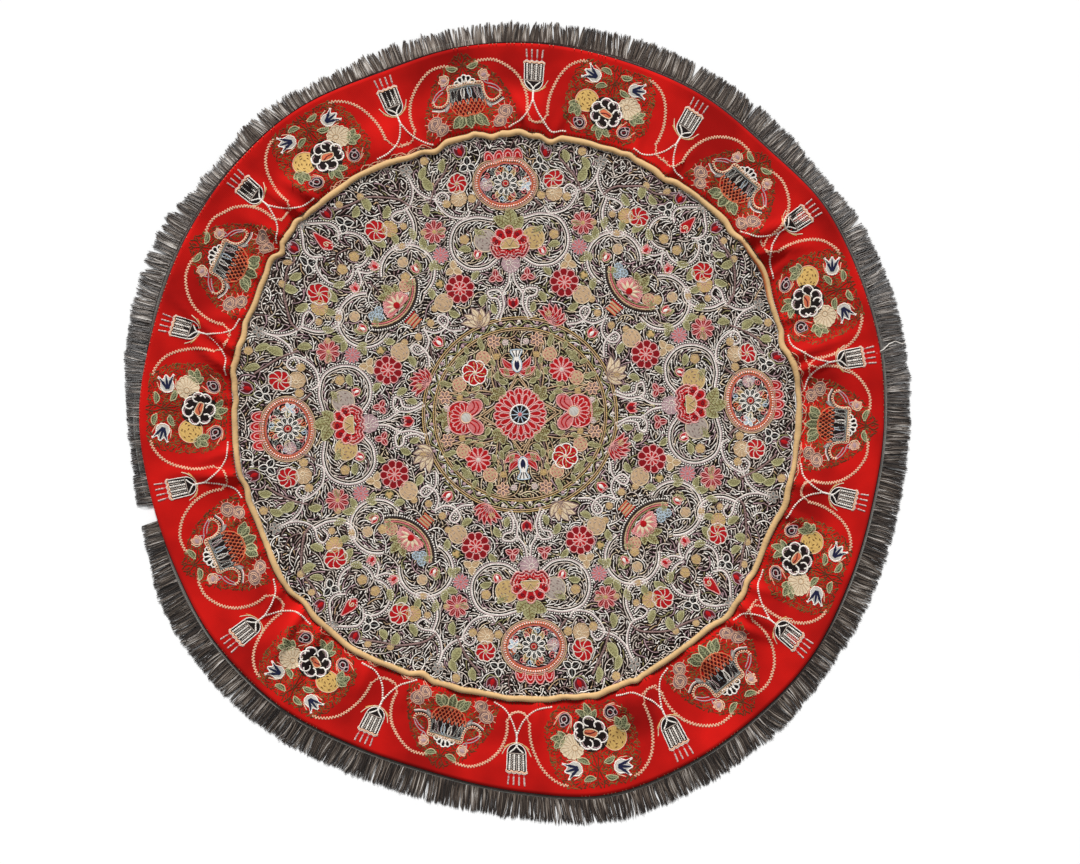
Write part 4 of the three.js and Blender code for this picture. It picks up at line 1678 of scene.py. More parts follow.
class Lay:
    """How the cover lies: its seam, its edges and its heights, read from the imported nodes.

    A kink is a place where the seam is pushed out of its course: its bearing and half width in degrees, and
    how many millimetres outwards.
    """

    STATIONS = 126
    FRINGE_STATIONS = 252
    SHARES = np.linspace(0, 1, 25)
    LEVELS = np.array([0, 0.13, 0.3, 0.52, 0.75, 1])
    CENTRE_THICKNESS = 0.0025
    FLAT_SHARE = 0.8
    PUCKERS = tuple(Pucker(*row) for row in (
        (116, 1.6, 0.004, 1.0, -1), (110, 1.8, 0.005, 0.35, 1), (104, 1.4, 0.0025, 0.26, -1),
        (94, 1.6, 0.003, 0.3, 1), (87.5, 1.7, 0.006, 0.5, 3), (83, 1.5, 0.003, 0.36, -2),
        (76, 1.4, 0.002, 0.3, 1), (66, 1.6, 0.0035, 0.5, 1), (58.5, 1.6, 0.005, 0.42, -1.5),
        (50, 1.8, 0.003, 0.4, 1), (43, 1.3, 0.002, 0.3, 1), (38, 1.5, 0.0075, 0.75, -1.5),
        (34, 1.3, 0.006, 0.6, -2), (29, 1.2, 0.003, 0.4, 1), (20, 1.5, 0.003, 0.36, -1),
        (12.5, 1.6, 0.0075, 0.8, 0.5), (9, 1.1, 0.0055, 0.55, 1), (1, 1.8, 0.003, 0.5, -1),
        (-7, 1.6, 0.0028, 0.36, 1), (-14, 1.6, 0.004, 0.5, 1), (-20, 1.4, 0.0045, 0.55, -1),
        (-29, 1.8, 0.0025, 0.3, 1), (-36.5, 1.5, 0.005, 0.4, 2), (-40.5, 1.3, 0.0065, 0.62, 0.6),
        (-44.5, 1.4, 0.005, 0.6, 2), (-54, 1.9, 0.0035, 0.8, 2), (-64, 1.6, 0.0055, 0.5, -2),
        (-69, 1.6, 0.006, 0.34, -3), (-76, 1.9, 0.004, 0.3, -2), (-86, 1.6, 0.0045, 0.5, -1),
        (-97, 1.5, 0.003, 0.4, -2), (-106, 1.8, 0.005, 0.3, 2), (-113, 1.5, 0.0045, 0.4, 1),
        (-121, 1.6, 0.003, 0.4, 1), (-132.5, 1.7, 0.0055, 1.2, 1.2), (-138, 1.4, 0.007, 0.8, 1.6),
        (-144, 1.6, 0.005, 0.36, 2), (-152, 1.9, 0.004, 0.3, -1), (-160, 1.5, 0.0025, 0.4, 1),
        (-168, 1.5, 0.0075, 0.7, -1.2), (-173, 1.3, 0.004, 0.4, 1), (177, 1.6, 0.003, 0.5, -1),
        (171, 1.5, 0.0065, 0.62, -2.4), (167, 1.2, 0.0085, 0.85, -2.2), (160, 1.8, 0.0035, 0.5, 2),
        (152, 1.6, 0.004, 0.4, -1), (143, 1.6, 0.0045, 0.5, 1), (137, 1.3, 0.0075, 0.85, 0.8),
        (133, 1.1, 0.005, 0.5, 1.5), (126, 1.8, 0.0035, 0.4, -1),
    ))
    PUCKER_GAIN = 1.3
    SOFT_LIMIT, SOFT_SPAN = 0.017, 0.0052
    KINKS = (
        (1, 8, 3), (8, 4, 3), (15, 3.5, -8), (30, 6, 4.5), (40.5, 3, -5), (58.5, 3, -5), (67, 2, 4),
        (73, 3, -2), (83.5, 2.5, -8.5), (90, 2.5, 5), (95.5, 2.2, -5.5), (99, 1.5, 3), (107.5, 3, -8),
        (113, 3, -3), (133, 9, -3.5), (128, 5, -2), (139, 2, 4), (145.5, 1.8, -8), (148.5, 2.5, 3),
        (157, 5, -4), (164, 3, -4), (171, 2.5, 4), (177, 2.2, -2.5), (195, 3, -4), (221, 4, -6.5),
        (235, 7, 4.5), (249.5, 3, -7), (258, 3, 2.5), (268, 3, 2), (279, 3, -3), (285.5, 3, 4.5),
        (294, 1.5, 3), (316, 3.5, 4.5), (324, 2.5, -4), (341, 4, 4),
    )
    KINK_STATIONS = 720
    TIP_REACH = 3

    def __init__(self) -> None:
        """Reads the rings, and kinks what runs along the seam."""
        nodes = ("centre_panel", "piping", "border_panel", "fringe_heading")
        panel, cord, border, heading = (Ring(node, self.STATIONS) for node in nodes)
        fringe = Ring("fringe", self.FRINGE_STATIONS).outer()
        fine = np.arange(self.KINK_STATIONS) / self.KINK_STATIONS * FULL_TURN
        pushed = sum(push * MM * hump(bearing_gap(fine, bearing) / math.radians(half))
                     for bearing, half, push in self.KINKS)
        rings = (panel.outer(), cord.inner(), cord.outer(), border.inner())
        kinked = (around(each, fine) + pushed for each in rings)
        self.rim, self.cord_inner, self.cord_outer, self.seam = kinked
        self.rim_lift = cord.across(lambda rows: rows[:, 1].min())
        self.cord_height = cord.across(lambda rows: np.ptp(rows[:, 1]))
        self.edge = border.outer()
        tops = np.array([rows.reshape(-1, 2, 2)[:, 1, 1] for rows in border.rows])
        self.border_tops = between(self.LEVELS, tops, self.SHARES)
        self.heading_inner, self.heading_outer = heading.inner(), heading.outer()
        self.heading_top = heading.across(lambda rows: rows[:, 1].max())
        steps = range(-self.TIP_REACH, self.TIP_REACH + 1)
        self.tips = np.mean([np.roll(fringe, step) for step in steps], 0)

    def centre_height(self, bearings: Array, radii: Array) -> Array:
        """Height of the centre panel's top.

        Args:
            bearings: Where, in radians.
            radii: How far from the middle.

        Returns:
            The heights.
        """
        rise = np.clip((radii / around(self.rim, bearings) - self.FLAT_SHARE) / (1 - self.FLAT_SHARE), 0, 1)
        slack = wander(bearings, 5, 5, 17) * 0.0006 * ease(radii / 0.3) * (1 - rise)
        return self.CENTRE_THICKNESS + around(self.rim_lift, bearings) * rise**2 + slack

    def border_height(self, bearings: Array, shares: Array) -> Array:
        """Height of the border's top.

        Args:
            bearings: Where, in radians.
            shares: How far from the seam to the edge, from 0 to 1.

        Returns:
            The heights.
        """
        tops = around(self.border_tops, bearings)
        place = np.clip(shares, 0, 1) * (len(self.SHARES) - 1)
        left = np.minimum(place.astype(int), len(self.SHARES) - 2)
        low, high = (np.take_along_axis(tops, (left + step)[..., None], -1)[..., 0] for step in (0, 1))
        heights = low + (high - low) * (place - left)
        for each in self.PUCKERS:
            off = bearing_gap(bearings, each.bearing) - math.radians(each.lean) * shares * 3
            dies = hump(np.maximum(shares - 0.06, 0) / (each.reach * self.PUCKER_GAIN))
            across = hump(off / math.radians(each.half_width))
            heights = heights + each.height * self.PUCKER_GAIN * dies * across
        over = np.maximum(heights - self.SOFT_LIMIT, 0)
        return heights - over + self.SOFT_SPAN * np.tanh(over / self.SOFT_SPAN) + self.lip(bearings, shares)

    def lip(self, bearings: Array, shares: Array) -> Array:
        """How much the border's edge turns up where the heading is sewn on, as border_height asks for it."""
        return 0.0022 * ease((shares - 0.8) / 0.2) * (0.75 + 0.25 * np.sin(bearings))


@dataclass(frozen=True)
class Ground:
    """Cloth that embroidery is laid on."""

    lay: Lay

    def surface(self, points: Array, bearing: float) -> Array:
        """Where points of a design lie on the cloth, in metres."""
        raise NotImplementedError

    def carry(self, points: Array, lifts: Array, bearing: float) -> tuple[Array, Array]:
        """Lays points of a design on the cloth.

        Args:
            points: The points, in millimetres.
            lifts: Their heights above the cloth, in millimetres.
            bearing: Bearing of the motif's middle, in degrees.

        Returns:
            The places in metres, and the cloth's upward direction there.
        """
        base, right, ahead = (self.surface(points + step, bearing) for step in ((0, 0), (1, 0), (0, 1)))
        up = np.cross(right - base, ahead - base)
        up /= np.linalg.norm(up, axis=1)[:, None]
        return base + up * (np.asarray(lifts)[:, None] * MM), up


class CentreGround(Ground):
    """The centre panel's top, on which the pattern sits a little turned."""

    TURN = math.radians(3.5)
    MIDDLE = np.array([0.0018, 0.0018])
    DRAWN_RIM = 0.487
    FROM = 0.36

    def surface(self, points: Array, bearing: float) -> Array:
        """Places of the points on the panel; the outer part follows the rim, which isn't quite round."""
        angles = np.arctan2(points[:, 1], points[:, 0]) + self.TURN + math.radians(bearing)
        radii = np.hypot(*points.T) * MM
        share = ease((radii - self.FROM) / (self.DRAWN_RIM - self.FROM))
        radii = radii * (1 + share * (around(self.lay.rim, angles) / self.DRAWN_RIM - 1))
        flat = polar(radii, angles) + self.MIDDLE * (1 - share)[:, None]
        heights = self.lay.centre_height(np.arctan2(flat[:, 1], flat[:, 0]), np.hypot(*flat.T))
        return np.column_stack((flat, heights))


@dataclass(frozen=True)
class BorderGround(Ground):
    """The border's top, for a design whose origin lies some way out from the middle of the cover."""

    origin: float = 490

    DRAWN_SEAM = 490
    DRAWN_DEPTH = 153

    def surface(self, points: Array, bearing: float) -> Array:
        """Places of the points, each at its own share of the way from the seam to the edge."""
        x, y = points[:, 0], points[:, 1] + self.origin
        bearings = math.radians(bearing) - np.arctan2(x, y)
        shares = (np.hypot(x, y) - self.DRAWN_SEAM) / self.DRAWN_DEPTH
        seam, edge = around(self.lay.seam, bearings), around(self.lay.edge, bearings)
        return polar(seam + (edge - seam) * shares, bearings, self.lay.border_height(bearings, shares))


class BraidGround(Ground):
    """The braid's top, for rows drawn beside a circle that stands for the border's edge."""

    DRAWN_EDGE = 500

    def surface(self, points: Array, bearing: float) -> Array:
        """Places of points that are drawn a little way outside the border's edge."""
        bearings = np.arctan2(points[:, 1], points[:, 0]) + math.radians(bearing)
        beyond = (np.hypot(*points.T) - self.DRAWN_EDGE) * MM
        on_border = self.lay.border_height(bearings, np.ones(len(bearings)))
        heights = np.where(beyond < 0, on_border, around(self.lay.heading_top, bearings))
        return polar(around(self.lay.edge, bearings) + beyond, bearings, heights)


# ---------------------------------------------------------------- node trees


@dataclass
class Tree:
    """A node tree being wired up."""

    tree: NodeTree

    def node(self, kind: str, values: dict | None = None, **settings: object) -> Node:
        """Adds a node.

        Args:
            kind: Its type.
            values: For each input, by name or number, a value or the socket that feeds it.
            settings: The node's own settings.

        Returns:
            The node.
        """
        made = self.tree.nodes.new(kind)
        for key, value in settings.items():
            setattr(made, key, value)
        for key, value in (values or {}).items():
            if isinstance(value, NodeSocket):
                self.tree.links.new(value, made.inputs[key])
            else:
                made.inputs[key].default_value = value
        return made

    def first(self, kind: str, values: dict | None = None, **settings: object) -> NodeSocket:
        """Adds a node and gives its first output."""
        return self.node(kind, values, **settings).outputs[0]

    def math(self, operation: str, *values: object) -> NodeSocket:
        """A maths node's result."""
        return self.first("ShaderNodeMath", dict(enumerate(values)), operation=operation)

    def scaled(self, vector: NodeSocket, scale: NodeSocket) -> NodeSocket:
        """A vector or a colour times a number."""
        return self.first("ShaderNodeVectorMath", {0: vector, "Scale": scale}, operation="SCALE")

    def socket(self, name: str, kind: str, value: object = None, incoming: bool = True) -> None:
        """Adds a named socket to the tree's own interface.

        Args:
            name: Its name.
            kind: What it carries.
            value: Its default value.
            incoming: Whether it is an input.
        """
        way = "INPUT" if incoming else "OUTPUT"
        made = self.tree.interface.new_socket(name, in_out=way, socket_type="NodeSocket" + kind)
        if value is not None:
            made.default_value = value


class Working(Tree):
    """A tree that turns drawn lines into worked thread."""

    def __init__(self, name: str, *sizes: tuple[str, str, float]) -> None:
        """Starts the tree.

        Args:
            name: Its name.
            sizes: Name, kind and default of each of its own sizes.
        """
        super().__init__(bpy.data.node_groups.new(name, "GeometryNodeTree"))
        self.socket("Geometry", "Geometry")
        for size in sizes:
            self.socket(*size)
        self.socket("Material", "Material")
        self.socket("Geometry", "Geometry", incoming=False)
        self.start = self.node("NodeGroupInput").outputs
        self.drawn = self.first("GeometryNodeMeshToCurve", {"Mesh": self.start["Geometry"]})

    def named(self, name: str, kind: str = "FLOAT") -> NodeSocket:
        """An attribute of the drawn lines."""
        return self.first("GeometryNodeInputNamedAttribute", {"Name": name}, data_type=kind)

    def unevenly(self, low: float, high: float, seed: object) -> NodeSocket:
        """A random number for each stitch or strand."""
        made = self.node("FunctionNodeRandomValue", {2: low, 3: high, "Seed": seed}, data_type="FLOAT")
        return made.outputs[1]

    def finish(self, geometry: NodeSocket) -> NodeTree:
        """Ends the tree with real faces in their material.

        Args:
            geometry: What was worked.

        Returns:
            The tree.
        """
        real = self.first("GeometryNodeRealizeInstances", {"Geometry": geometry})
        clad = self.first("GeometryNodeSetMaterial", {"Geometry": real, "Material": self.start["Material"]})
        self.node("NodeGroupOutput", {"Geometry": clad})
        return self.tree


def stitching() -> NodeTree:
    """Makes the tree that lays a raised stitch at each step along drawn lines.

    Returns:
        The tree.
    """
    tree = Working("Stitching", ("Sides", "Int", 4), ("Seed", "Int", 3))
    stepped = {"Curve": tree.drawn, "Length": tree.named("pitch")}
    cone = {"Vertices": tree.start["Sides"], "Radius Top": 0.0, "Radius Bottom": 0.5**0.5, "Depth": 1.0}
    peak = tree.first("GeometryNodeMeshCone", cone, fill_type="NONE")
    stitch = {"Geometry": peak, "Rotation": (0, 0, math.pi / 4)}
    along = {0: tree.first("GeometryNodeInputTangent"), 1: tree.named("up", "FLOAT_VECTOR")}
    turn = tree.first("FunctionNodeAxesToRotation", along, primary_axis="X", secondary_axis="Z")
    slant = tree.first("ShaderNodeCombineXYZ", {2: tree.unevenly(-0.16, 0.16, tree.start["Seed"])})
    sway = tree.first("FunctionNodeEulerToRotation", {0: slant})
    length = tree.math("MULTIPLY", tree.named("length"), tree.unevenly(0.92, 1.08, 5))
    width = tree.math("MULTIPLY", tree.named("width"), tree.unevenly(0.86, 1.14, 6))
    laid = tree.first("GeometryNodeInstanceOnPoints", {
        "Points": tree.first("GeometryNodeResampleCurve", stepped, mode="LENGTH"),
        "Instance": tree.first("GeometryNodeTransform", stitch),
        "Rotation": tree.first("FunctionNodeRotateRotation", {0: turn, 1: sway}, rotation_space="LOCAL"),
        "Scale": tree.first("ShaderNodeCombineXYZ", {0: length, 1: width, 2: tree.named("height")}),
    })
    colour = tree.scaled(tree.named(TINT, "FLOAT_COLOR"), tree.unevenly(1 - 0.14, 1 + 0.14, 11))
    stored = tree.first("GeometryNodeStoreNamedAttribute", {"Geometry": laid, "Name": TINT, "Value": colour},
                        data_type="FLOAT_COLOR", domain="INSTANCE")
    return tree.finish(stored)


def strands() -> NodeTree:
    """Makes the tree that turns drawn lines into ridged strands that thin out to their tips.

    Returns:
        The tree.
    """
    tree = Working("Strands", ("Tip", "Float", 0.55))
    ridge = {"Resolution": 2, "Start": (-0.5, 0, 0), "Start Handle": (-0.25, 0.5, 0),
             "End Handle": (0.25, 0.5, 0), "End": (0.5, 0, 0)}
    along = tree.node("GeometryNodeSplineParameter").outputs["Factor"]
    taper = tree.first("ShaderNodeMapRange", {"Value": along, "From Min": 0.5, "From Max": 1.0, "To Min": 1.0,
                                              "To Max": tree.start["Tip"]})
    return tree.finish(tree.first("GeometryNodeCurveToMesh", {
        "Curve": tree.first("GeometryNodeSetCurveNormal", {"Curve": tree.drawn}, mode="Z_UP"),
        "Profile Curve": tree.first("GeometryNodeCurvePrimitiveBezierSegment", ridge),
        "Scale": tree.math("MULTIPLY", tree.named("width"), taper),
    }))


def add_fact(mesh: Mesh, name: str, values: Array) -> None:
    """Keeps a number, a vector or a colour at each of a mesh's points."""
    kinds = {1: ("FLOAT", "value"), 3: ("FLOAT_VECTOR", "vector"), 4: ("FLOAT_COLOR", "color")}
    kind, slot = kinds[values.size // len(values)]
    mesh.attributes.new(name, kind, "POINT").data.foreach_set(slot, values.astype(np.float32).ravel())


def drawn_mesh(name: str, lines: Sequence[Array], closed: Sequence[bool], facts: dict[str, Array]) -> Mesh:
    """Makes a mesh of bare lines with facts at their points.

    Args:
        name: Its name.
        lines: The lines' points, in metres.
        closed: Whether each line comes back to its start.
        facts: Attributes, with a number, a vector or a colour for each point.

    Returns:
        The mesh.
    """
    counts = np.array([len(line) for line in lines])
    ends = np.cumsum(counts)
    firsts = np.arange(ends[-1])
    nexts = firsts + 1
    nexts[ends - 1] = ends - counts
    keep = np.ones(len(firsts), bool)
    keep[ends[~np.asarray(closed, bool)] - 1] = False
    mesh = bpy.data.meshes.new(name)
    mesh.vertices.add(int(ends[-1]))
    mesh.vertices.foreach_set("co", np.concatenate(lines).astype(np.float32).ravel())
    mesh.edges.add(int(keep.sum()))
    mesh.edges.foreach_set("vertices", np.column_stack((firsts, nexts))[keep].astype(np.int32).ravel())
    for fact, values in facts.items():
        add_fact(mesh, fact, values)
    return mesh


def made_by(tree: NodeTree, name: str, mesh: Mesh, material: Material) -> Object:
    """Runs drawn lines through a tree and keeps the result as a plain mesh.

    Args:
        tree: The node tree.
        name: Name of the piece.
        mesh: The drawn lines.
        material: The finish.

    Returns:
        The finished piece.
    """
    piece = bpy.data.objects.new(name, mesh)
    bpy.context.scene.collection.objects.link(piece)
    modifier = piece.modifiers.new("work", "NODES")
    modifier.node_group = tree
    for item in tree.interface.items_tree:
        if item.in_out == "INPUT" and item.name == "Material":
            modifier[item.identifier] = material
    depsgraph = bpy.context.evaluated_depsgraph_get()
    plain = bpy.data.meshes.new_from_object(piece.evaluated_get(depsgraph), depsgraph=depsgraph)
    piece.modifiers.clear()
    piece.data = plain
    plain.name = name
    for spare in {"up", "width", "length", "height", "pitch"} & {each.name for each in plain.attributes}:
        plain.attributes.remove(plain.attributes[spare])
    return piece


def shaped(name: str, corners: Array, faces: list, tints: Array | None, material: Material) -> Object:
    """Makes a smoothly shaded piece from its corners and faces.

    Args:
        name: Name of the piece.
        corners: Its corners, in metres.
        faces: Its faces.
        tints: A colour for each corner, or None.
        material: The finish.

    Returns:
        The piece.
    """
    mesh = bpy.data.meshes.new(name)
    mesh.from_pydata(corners.tolist(), [], faces)
    if tints is not None:
        add_fact(mesh, TINT, tints)
    mesh.materials.append(material)
    mesh.polygons.foreach_set("use_smooth", [True] * len(mesh.polygons))
    mesh.update()
    piece = bpy.data.objects.new(name, mesh)
    bpy.context.scene.collection.objects.link(piece)
    return piece


def looped_shell(sections: Array, walled: bool = True, whole: bool = True) -> tuple[Array, list]:
    """Joins sections that stand round the cover.

    Args:
        sections: Corners of each section, by station, in order round it.
        walled: Whether a section's last corner joins its first.
        whole: Whether the last section joins the first; otherwise both ends are capped.

    Returns:
        The corners and the faces.
    """
    stations, count = sections.shape[:2]
    faces = []
    for station in range(stations if whole else stations - 1):
        here, there = station * count, (station + 1) % stations * count
        for i in range(count if walled else count - 1):
            j = (i + 1) % count
            faces.append((here + j, there + j, there + i, here + i))
    if not whole:
        last = (stations - 1) * count
        faces += [tuple(range(count)), tuple(last + i for i in reversed(range(count)))]
    return sections.reshape(-1, 3), faces


def dressed(piece: Object, slot: str, *nodes: str) -> Object:
    """Gives a finished piece its body, hides the nodes that it stands for, and logs its triangles."""
    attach(piece, "root")
    if nodes:
        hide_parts(*nodes)
    triangles = sum(len(polygon.vertices) - 2 for polygon in piece.data.polygons)
    log.info("%s: %d triangles", piece.name, triangles)
    return piece


Work = Sequence[tuple[Needle, float]]


@dataclass(frozen=True)
class Embroiderer:
    """Lays needles' work on the cloth: rows in the yarn's finish, and filled shapes in the filling's."""

    tree: NodeTree
    yarn: Material
    filling: Material

    def rows(self, name: str, slot: str, work: Work, ground: Ground) -> Object:
        """Makes one piece of all the stitched rows.

        Args:
            name: Name of the piece.
            slot: Its material slot; not used.
            work: Needles with the bearings that their designs are laid at.
            ground: The cloth.

        Returns:
            The piece.
        """
        lines, closed, ups, looks = [], [], [], []
        for needle, bearing in work:
            counts = np.array([len(run.points) for run in needle.runs])
            points = np.concatenate([run.points for run in needle.runs])
            places, up = ground.carry(points, np.repeat([run.lift for run in needle.runs], counts), bearing)
            lines += np.split(places, np.cumsum(counts)[:-1])
            closed += [run.closed for run in needle.runs]
            ups.append(up)
            look = np.repeat([(*run.tint, run.width, *run.row.value) for run in needle.runs], counts, axis=0)
            look[:, 4] *= np.concatenate([np.linspace(1, run.taper, len(run.points)) for run in needle.runs])
            looks.append(look)
        looks = np.concatenate(looks)
        width, pitch, length, height = looks[:, 4:].T
        facts = {"up": np.concatenate(ups), TINT: looks[:, :4], "width": width * MM, "pitch": pitch * MM,
                 "length": pitch * length * MM, "height": width * height * MM}
        return dressed(made_by(self.tree, name, drawn_mesh(name, lines, closed, facts), self.yarn), slot)

    def satin(self, name: str, slot: str, work: Work, ground: Ground) -> Object:
        """Makes one piece of all the filled shapes.

        Args:
            name: Name of the piece.
            slot: Its material slot; not used.
            work: Needles with the bearings that their designs are laid at.
            ground: The cloth.

        Returns:
            The piece.
        """
        corners, faces, tints, first = [], [], [], 0
        for needle, bearing in work:
            points = np.concatenate([each.corners for each in needle.satins])
            lifts = np.concatenate([each.lifts for each in needle.satins])
            corners.append(ground.carry(points, lifts, bearing)[0])
            for each in needle.satins:
                faces += [tuple(index + first for index in face) for face in each.faces]
                tints.append(np.tile(each.tint, (len(each.corners), 1)))
                first += len(each.corners)
        piece = shaped(name, np.concatenate(corners), faces, np.concatenate(tints), self.filling)
        return dressed(piece, slot)


# ---------------------------------------------------------------- finishes


def weave_group() -> NodeTree:
    """Makes the shader group that gives the height of woven threads.

    Returns:
        The group.
    """
    tree = Tree(bpy.data.node_groups.new("Weave", "ShaderNodeTree"))
    tree.socket("Vector", "Vector")
    tree.socket("Threads per metre", "Float", 600.0)
    tree.socket("Unevenness", "Float", 0.5)
    tree.socket("Height", "Float", incoming=False)
    start = tree.node("NodeGroupInput").outputs
    stray = tree.node("ShaderNodeTexNoise", {"Vector": start["Vector"], "Scale": 90.0}).outputs["Fac"]
    turns = tree.math("MULTIPLY", start["Threads per metre"], FULL_TURN / 2)
    axes = tree.node("ShaderNodeSeparateXYZ", {0: start["Vector"]}).outputs
    waves = []
    for axis in axes[:2]:
        angle = tree.math("MULTIPLY_ADD", stray, start["Unevenness"], tree.math("MULTIPLY", axis, turns))
        waves.append(tree.math("SINE", angle))
    height = tree.math("MULTIPLY_ADD", tree.math("MULTIPLY", *waves), 0.5, 0.5)
    tree.node("NodeGroupOutput", {"Height": height})
    return tree.tree


def fibre_group() -> NodeTree:
    """Makes the shader group that shades a colour unevenly, as spun and dyed fibre is.

    Returns:
        The group.
    """
    tree = Tree(bpy.data.node_groups.new("Fibre", "ShaderNodeTree"))
    tree.socket("Colour", "Color")
    tree.socket("Vector", "Vector")
    tree.socket("Grain", "Float", 700.0)
    tree.socket("Drift", "Float", 9.0)
    tree.socket("Amount", "Float", 0.15)
    tree.socket("Colour", "Color", incoming=False)
    tree.socket("Height", "Float", incoming=False)
    start = tree.node("NodeGroupInput").outputs
    sizes = [{"Vector": start["Vector"], "Scale": start[size], "Detail": detail}
             for size, detail in (("Grain", 3.0), ("Drift", 2.0))]
    fine, wide = (tree.node("ShaderNodeTexNoise", size).outputs["Fac"] for size in sizes)
    both = tree.math("SUBTRACT", tree.math("ADD", fine, wide), 1.0)
    shade = tree.math("MULTIPLY_ADD", both, tree.math("MULTIPLY", start["Amount"], 2.0), 1.0)
    tree.node("NodeGroupOutput", {"Colour": tree.scaled(start["Colour"], shade), "Height": fine})
    return tree.tree


class Shader(Tree):
    """A material being wired up."""

    def __init__(self, name: str, **plain: object) -> None:
        """Starts a material.

        Args:
            name: Its name.
            plain: Values that are the same all over, with _ for a space.
        """
        self.material = bpy.data.materials.new(name)
        self.material.use_nodes = True
        super().__init__(self.material.node_tree)
        self.shell = self.tree.nodes["Principled BSDF"]
        for key, value in plain.items():
            self.shell.inputs[key.replace("_", " ")].default_value = value
        self.place = self.node("ShaderNodeTexCoord").outputs["Object"]

    def feed(self, name: str, socket: NodeSocket) -> None:
        """Feeds one of the shader's inputs."""
        self.tree.links.new(socket, self.shell.inputs[name])

    def raised(self, height: NodeSocket, depth: float) -> None:
        """Raises the surface by a height from 0 to 1, where depth is the metres between them."""
        bump = self.first("ShaderNodeBump", {"Height": height, "Distance": depth, "Strength": 0.6})
        self.feed("Normal", bump)


@dataclass(frozen=True)
class Wool:
    """Plain woven wool cloth."""

    name: str
    colour: Shade
    deep: Shade

    THREADS = 620
    DRIFT = 7

    def material(self, weave: NodeTree, fibre: NodeTree) -> Material:
        """Makes the material.

        Args:
            weave: The weave group.
            fibre: The fibre group.

        Returns:
            The material.
        """
        shader = Shader(self.name, Roughness=0.92, Sheen_Weight=0.04, Sheen_Roughness=0.5,
                        Specular_IOR_Level=0.08)
        values = {"Vector": shader.place, "Threads per metre": self.THREADS}
        pattern = shader.node("ShaderNodeGroup", values, node_tree=weave).outputs["Height"]
        values = {"Vector": shader.place, "Scale": self.DRIFT, "Detail": 3.0}
        patches = shader.node("ShaderNodeTexNoise", values).outputs["Fac"]
        share = shader.first("ShaderNodeMapRange", {"Value": patches, "From Min": 0.35, "From Max": 0.68})
        values = {0: share, 6: linear(self.deep), 7: linear(self.colour)}
        mixed = shader.node("ShaderNodeMix", values, data_type="RGBA").outputs[2]
        values = {"Colour": mixed, "Vector": shader.place}
        grain = shader.node("ShaderNodeGroup", values, node_tree=fibre).outputs
        shader.feed("Base Color", grain["Colour"])
        shader.raised(shader.math("MULTIPLY_ADD", grain["Height"], 0.6, pattern), 0.0004)
        return shader.material


@dataclass(frozen=True)
class Spun:
    """Thread in the colour that each piece carries on its corners.

    grain and amount are the fineness and the strength of its shading, shine its gloss, and rows how many
    waving rows of stitches to a metre it is laid in, if any.
    """

    name: str
    roughness: float
    grain: float = 900
    amount: float = 0.12
    sheen: float = 0.1
    shine: float = 0.4
    rows: float = 0

    def material(self, fibre: NodeTree) -> Material:
        """Makes the material.

        Args:
            fibre: The fibre group.

        Returns:
            The material.
        """
        shader = Shader(self.name, Roughness=self.roughness, Sheen_Weight=self.sheen,
                        Specular_IOR_Level=self.shine)
        colour = shader.node("ShaderNodeAttribute", attribute_name=TINT).outputs["Color"]
        values = {"Colour": colour, "Vector": shader.place, "Grain": self.grain, "Drift": 30.0,
                  "Amount": self.amount}
        grain = shader.node("ShaderNodeGroup", values, node_tree=fibre).outputs
        shaded = grain["Colour"]
        if self.rows:
            swirl = {"Vector": shader.place, "Scale": self.rows, "Distortion": 14.0, "Detail": 1.0,
                     "Detail Scale": 0.5}
            furrows = shader.node("ShaderNodeTexWave", swirl, bands_direction="DIAGONAL").outputs["Fac"]
            values = {"Value": furrows, "From Max": 0.7, "To Min": 0.85, "To Max": 1.05}
            shaded = shader.scaled(shaded, shader.first("ShaderNodeMapRange", values))
        shader.feed("Base Color", shaded)
        shader.raised(grain["Height"], 0.0003)
        return shader.material


# ---------------------------------------------------------------- the sewn pieces


@dataclass(frozen=True)
class CentrePanel:
    """The dark wool disc and its embroidery."""

    lay: Lay
    stations: int = 252
    rings: int = 20
    slot: str = "embroidered_centre"

    def cloth(self, material: Material) -> Object:
        """Makes the disc as a closed sheet.

        Args:
            material: Its finish.

        Returns:
            The piece.
        """
        thickness = self.lay.CENTRE_THICKNESS
        bearings = full_circle(self.stations)[:, None]
        radii = around(self.lay.rim, bearings) * np.linspace(1, 0, self.rings, endpoint=False)[::-1]
        bearings = np.broadcast_to(bearings, radii.shape)
        ring = polar(radii, bearings, self.lay.centre_height(bearings, radii))
        under = np.maximum(ring - (0, 0, thickness), (-1, -1, 0))
        corners, faces = looped_shell(np.concatenate((under, ring[:, ::-1]), 1), walled=False)
        count, middle = 2 * self.rings, len(corners)
        nexts = [(i + 1) % self.stations for i in range(self.stations)]
        faces += [(i * count, middle, j * count) for i, j in enumerate(nexts)]
        faces += [(i * count + count - 1, j * count + count - 1, middle + 1) for i, j in enumerate(nexts)]
        corners = np.vstack((corners, [(0, 0, 0), (0, 0, thickness)]))
        return dressed(shaped("centre_cloth", corners, faces, None, material), self.slot, "centre_panel")

    def build(self, material: Material, worker: Embroiderer) -> None:
        """Makes the disc and all that is worked on it.

        Args:
            material: Finish of the disc.
            worker: Lays the embroidery.
        """
        cloth = self.cloth(material)
        ground, pattern = CentreGround(self.lay), CentrePattern()
        filled = [(pattern.flowers, 0), (pattern.scrolls, 0)]
        worked = [worker.satin("centre_satin", self.slot, filled, ground)]
        for part in ("flowers", "scrolls", "plumes", "filling"):
            worked.append(worker.rows(f"centre_{part}", self.slot, [(getattr(pattern, part), 0)], ground))


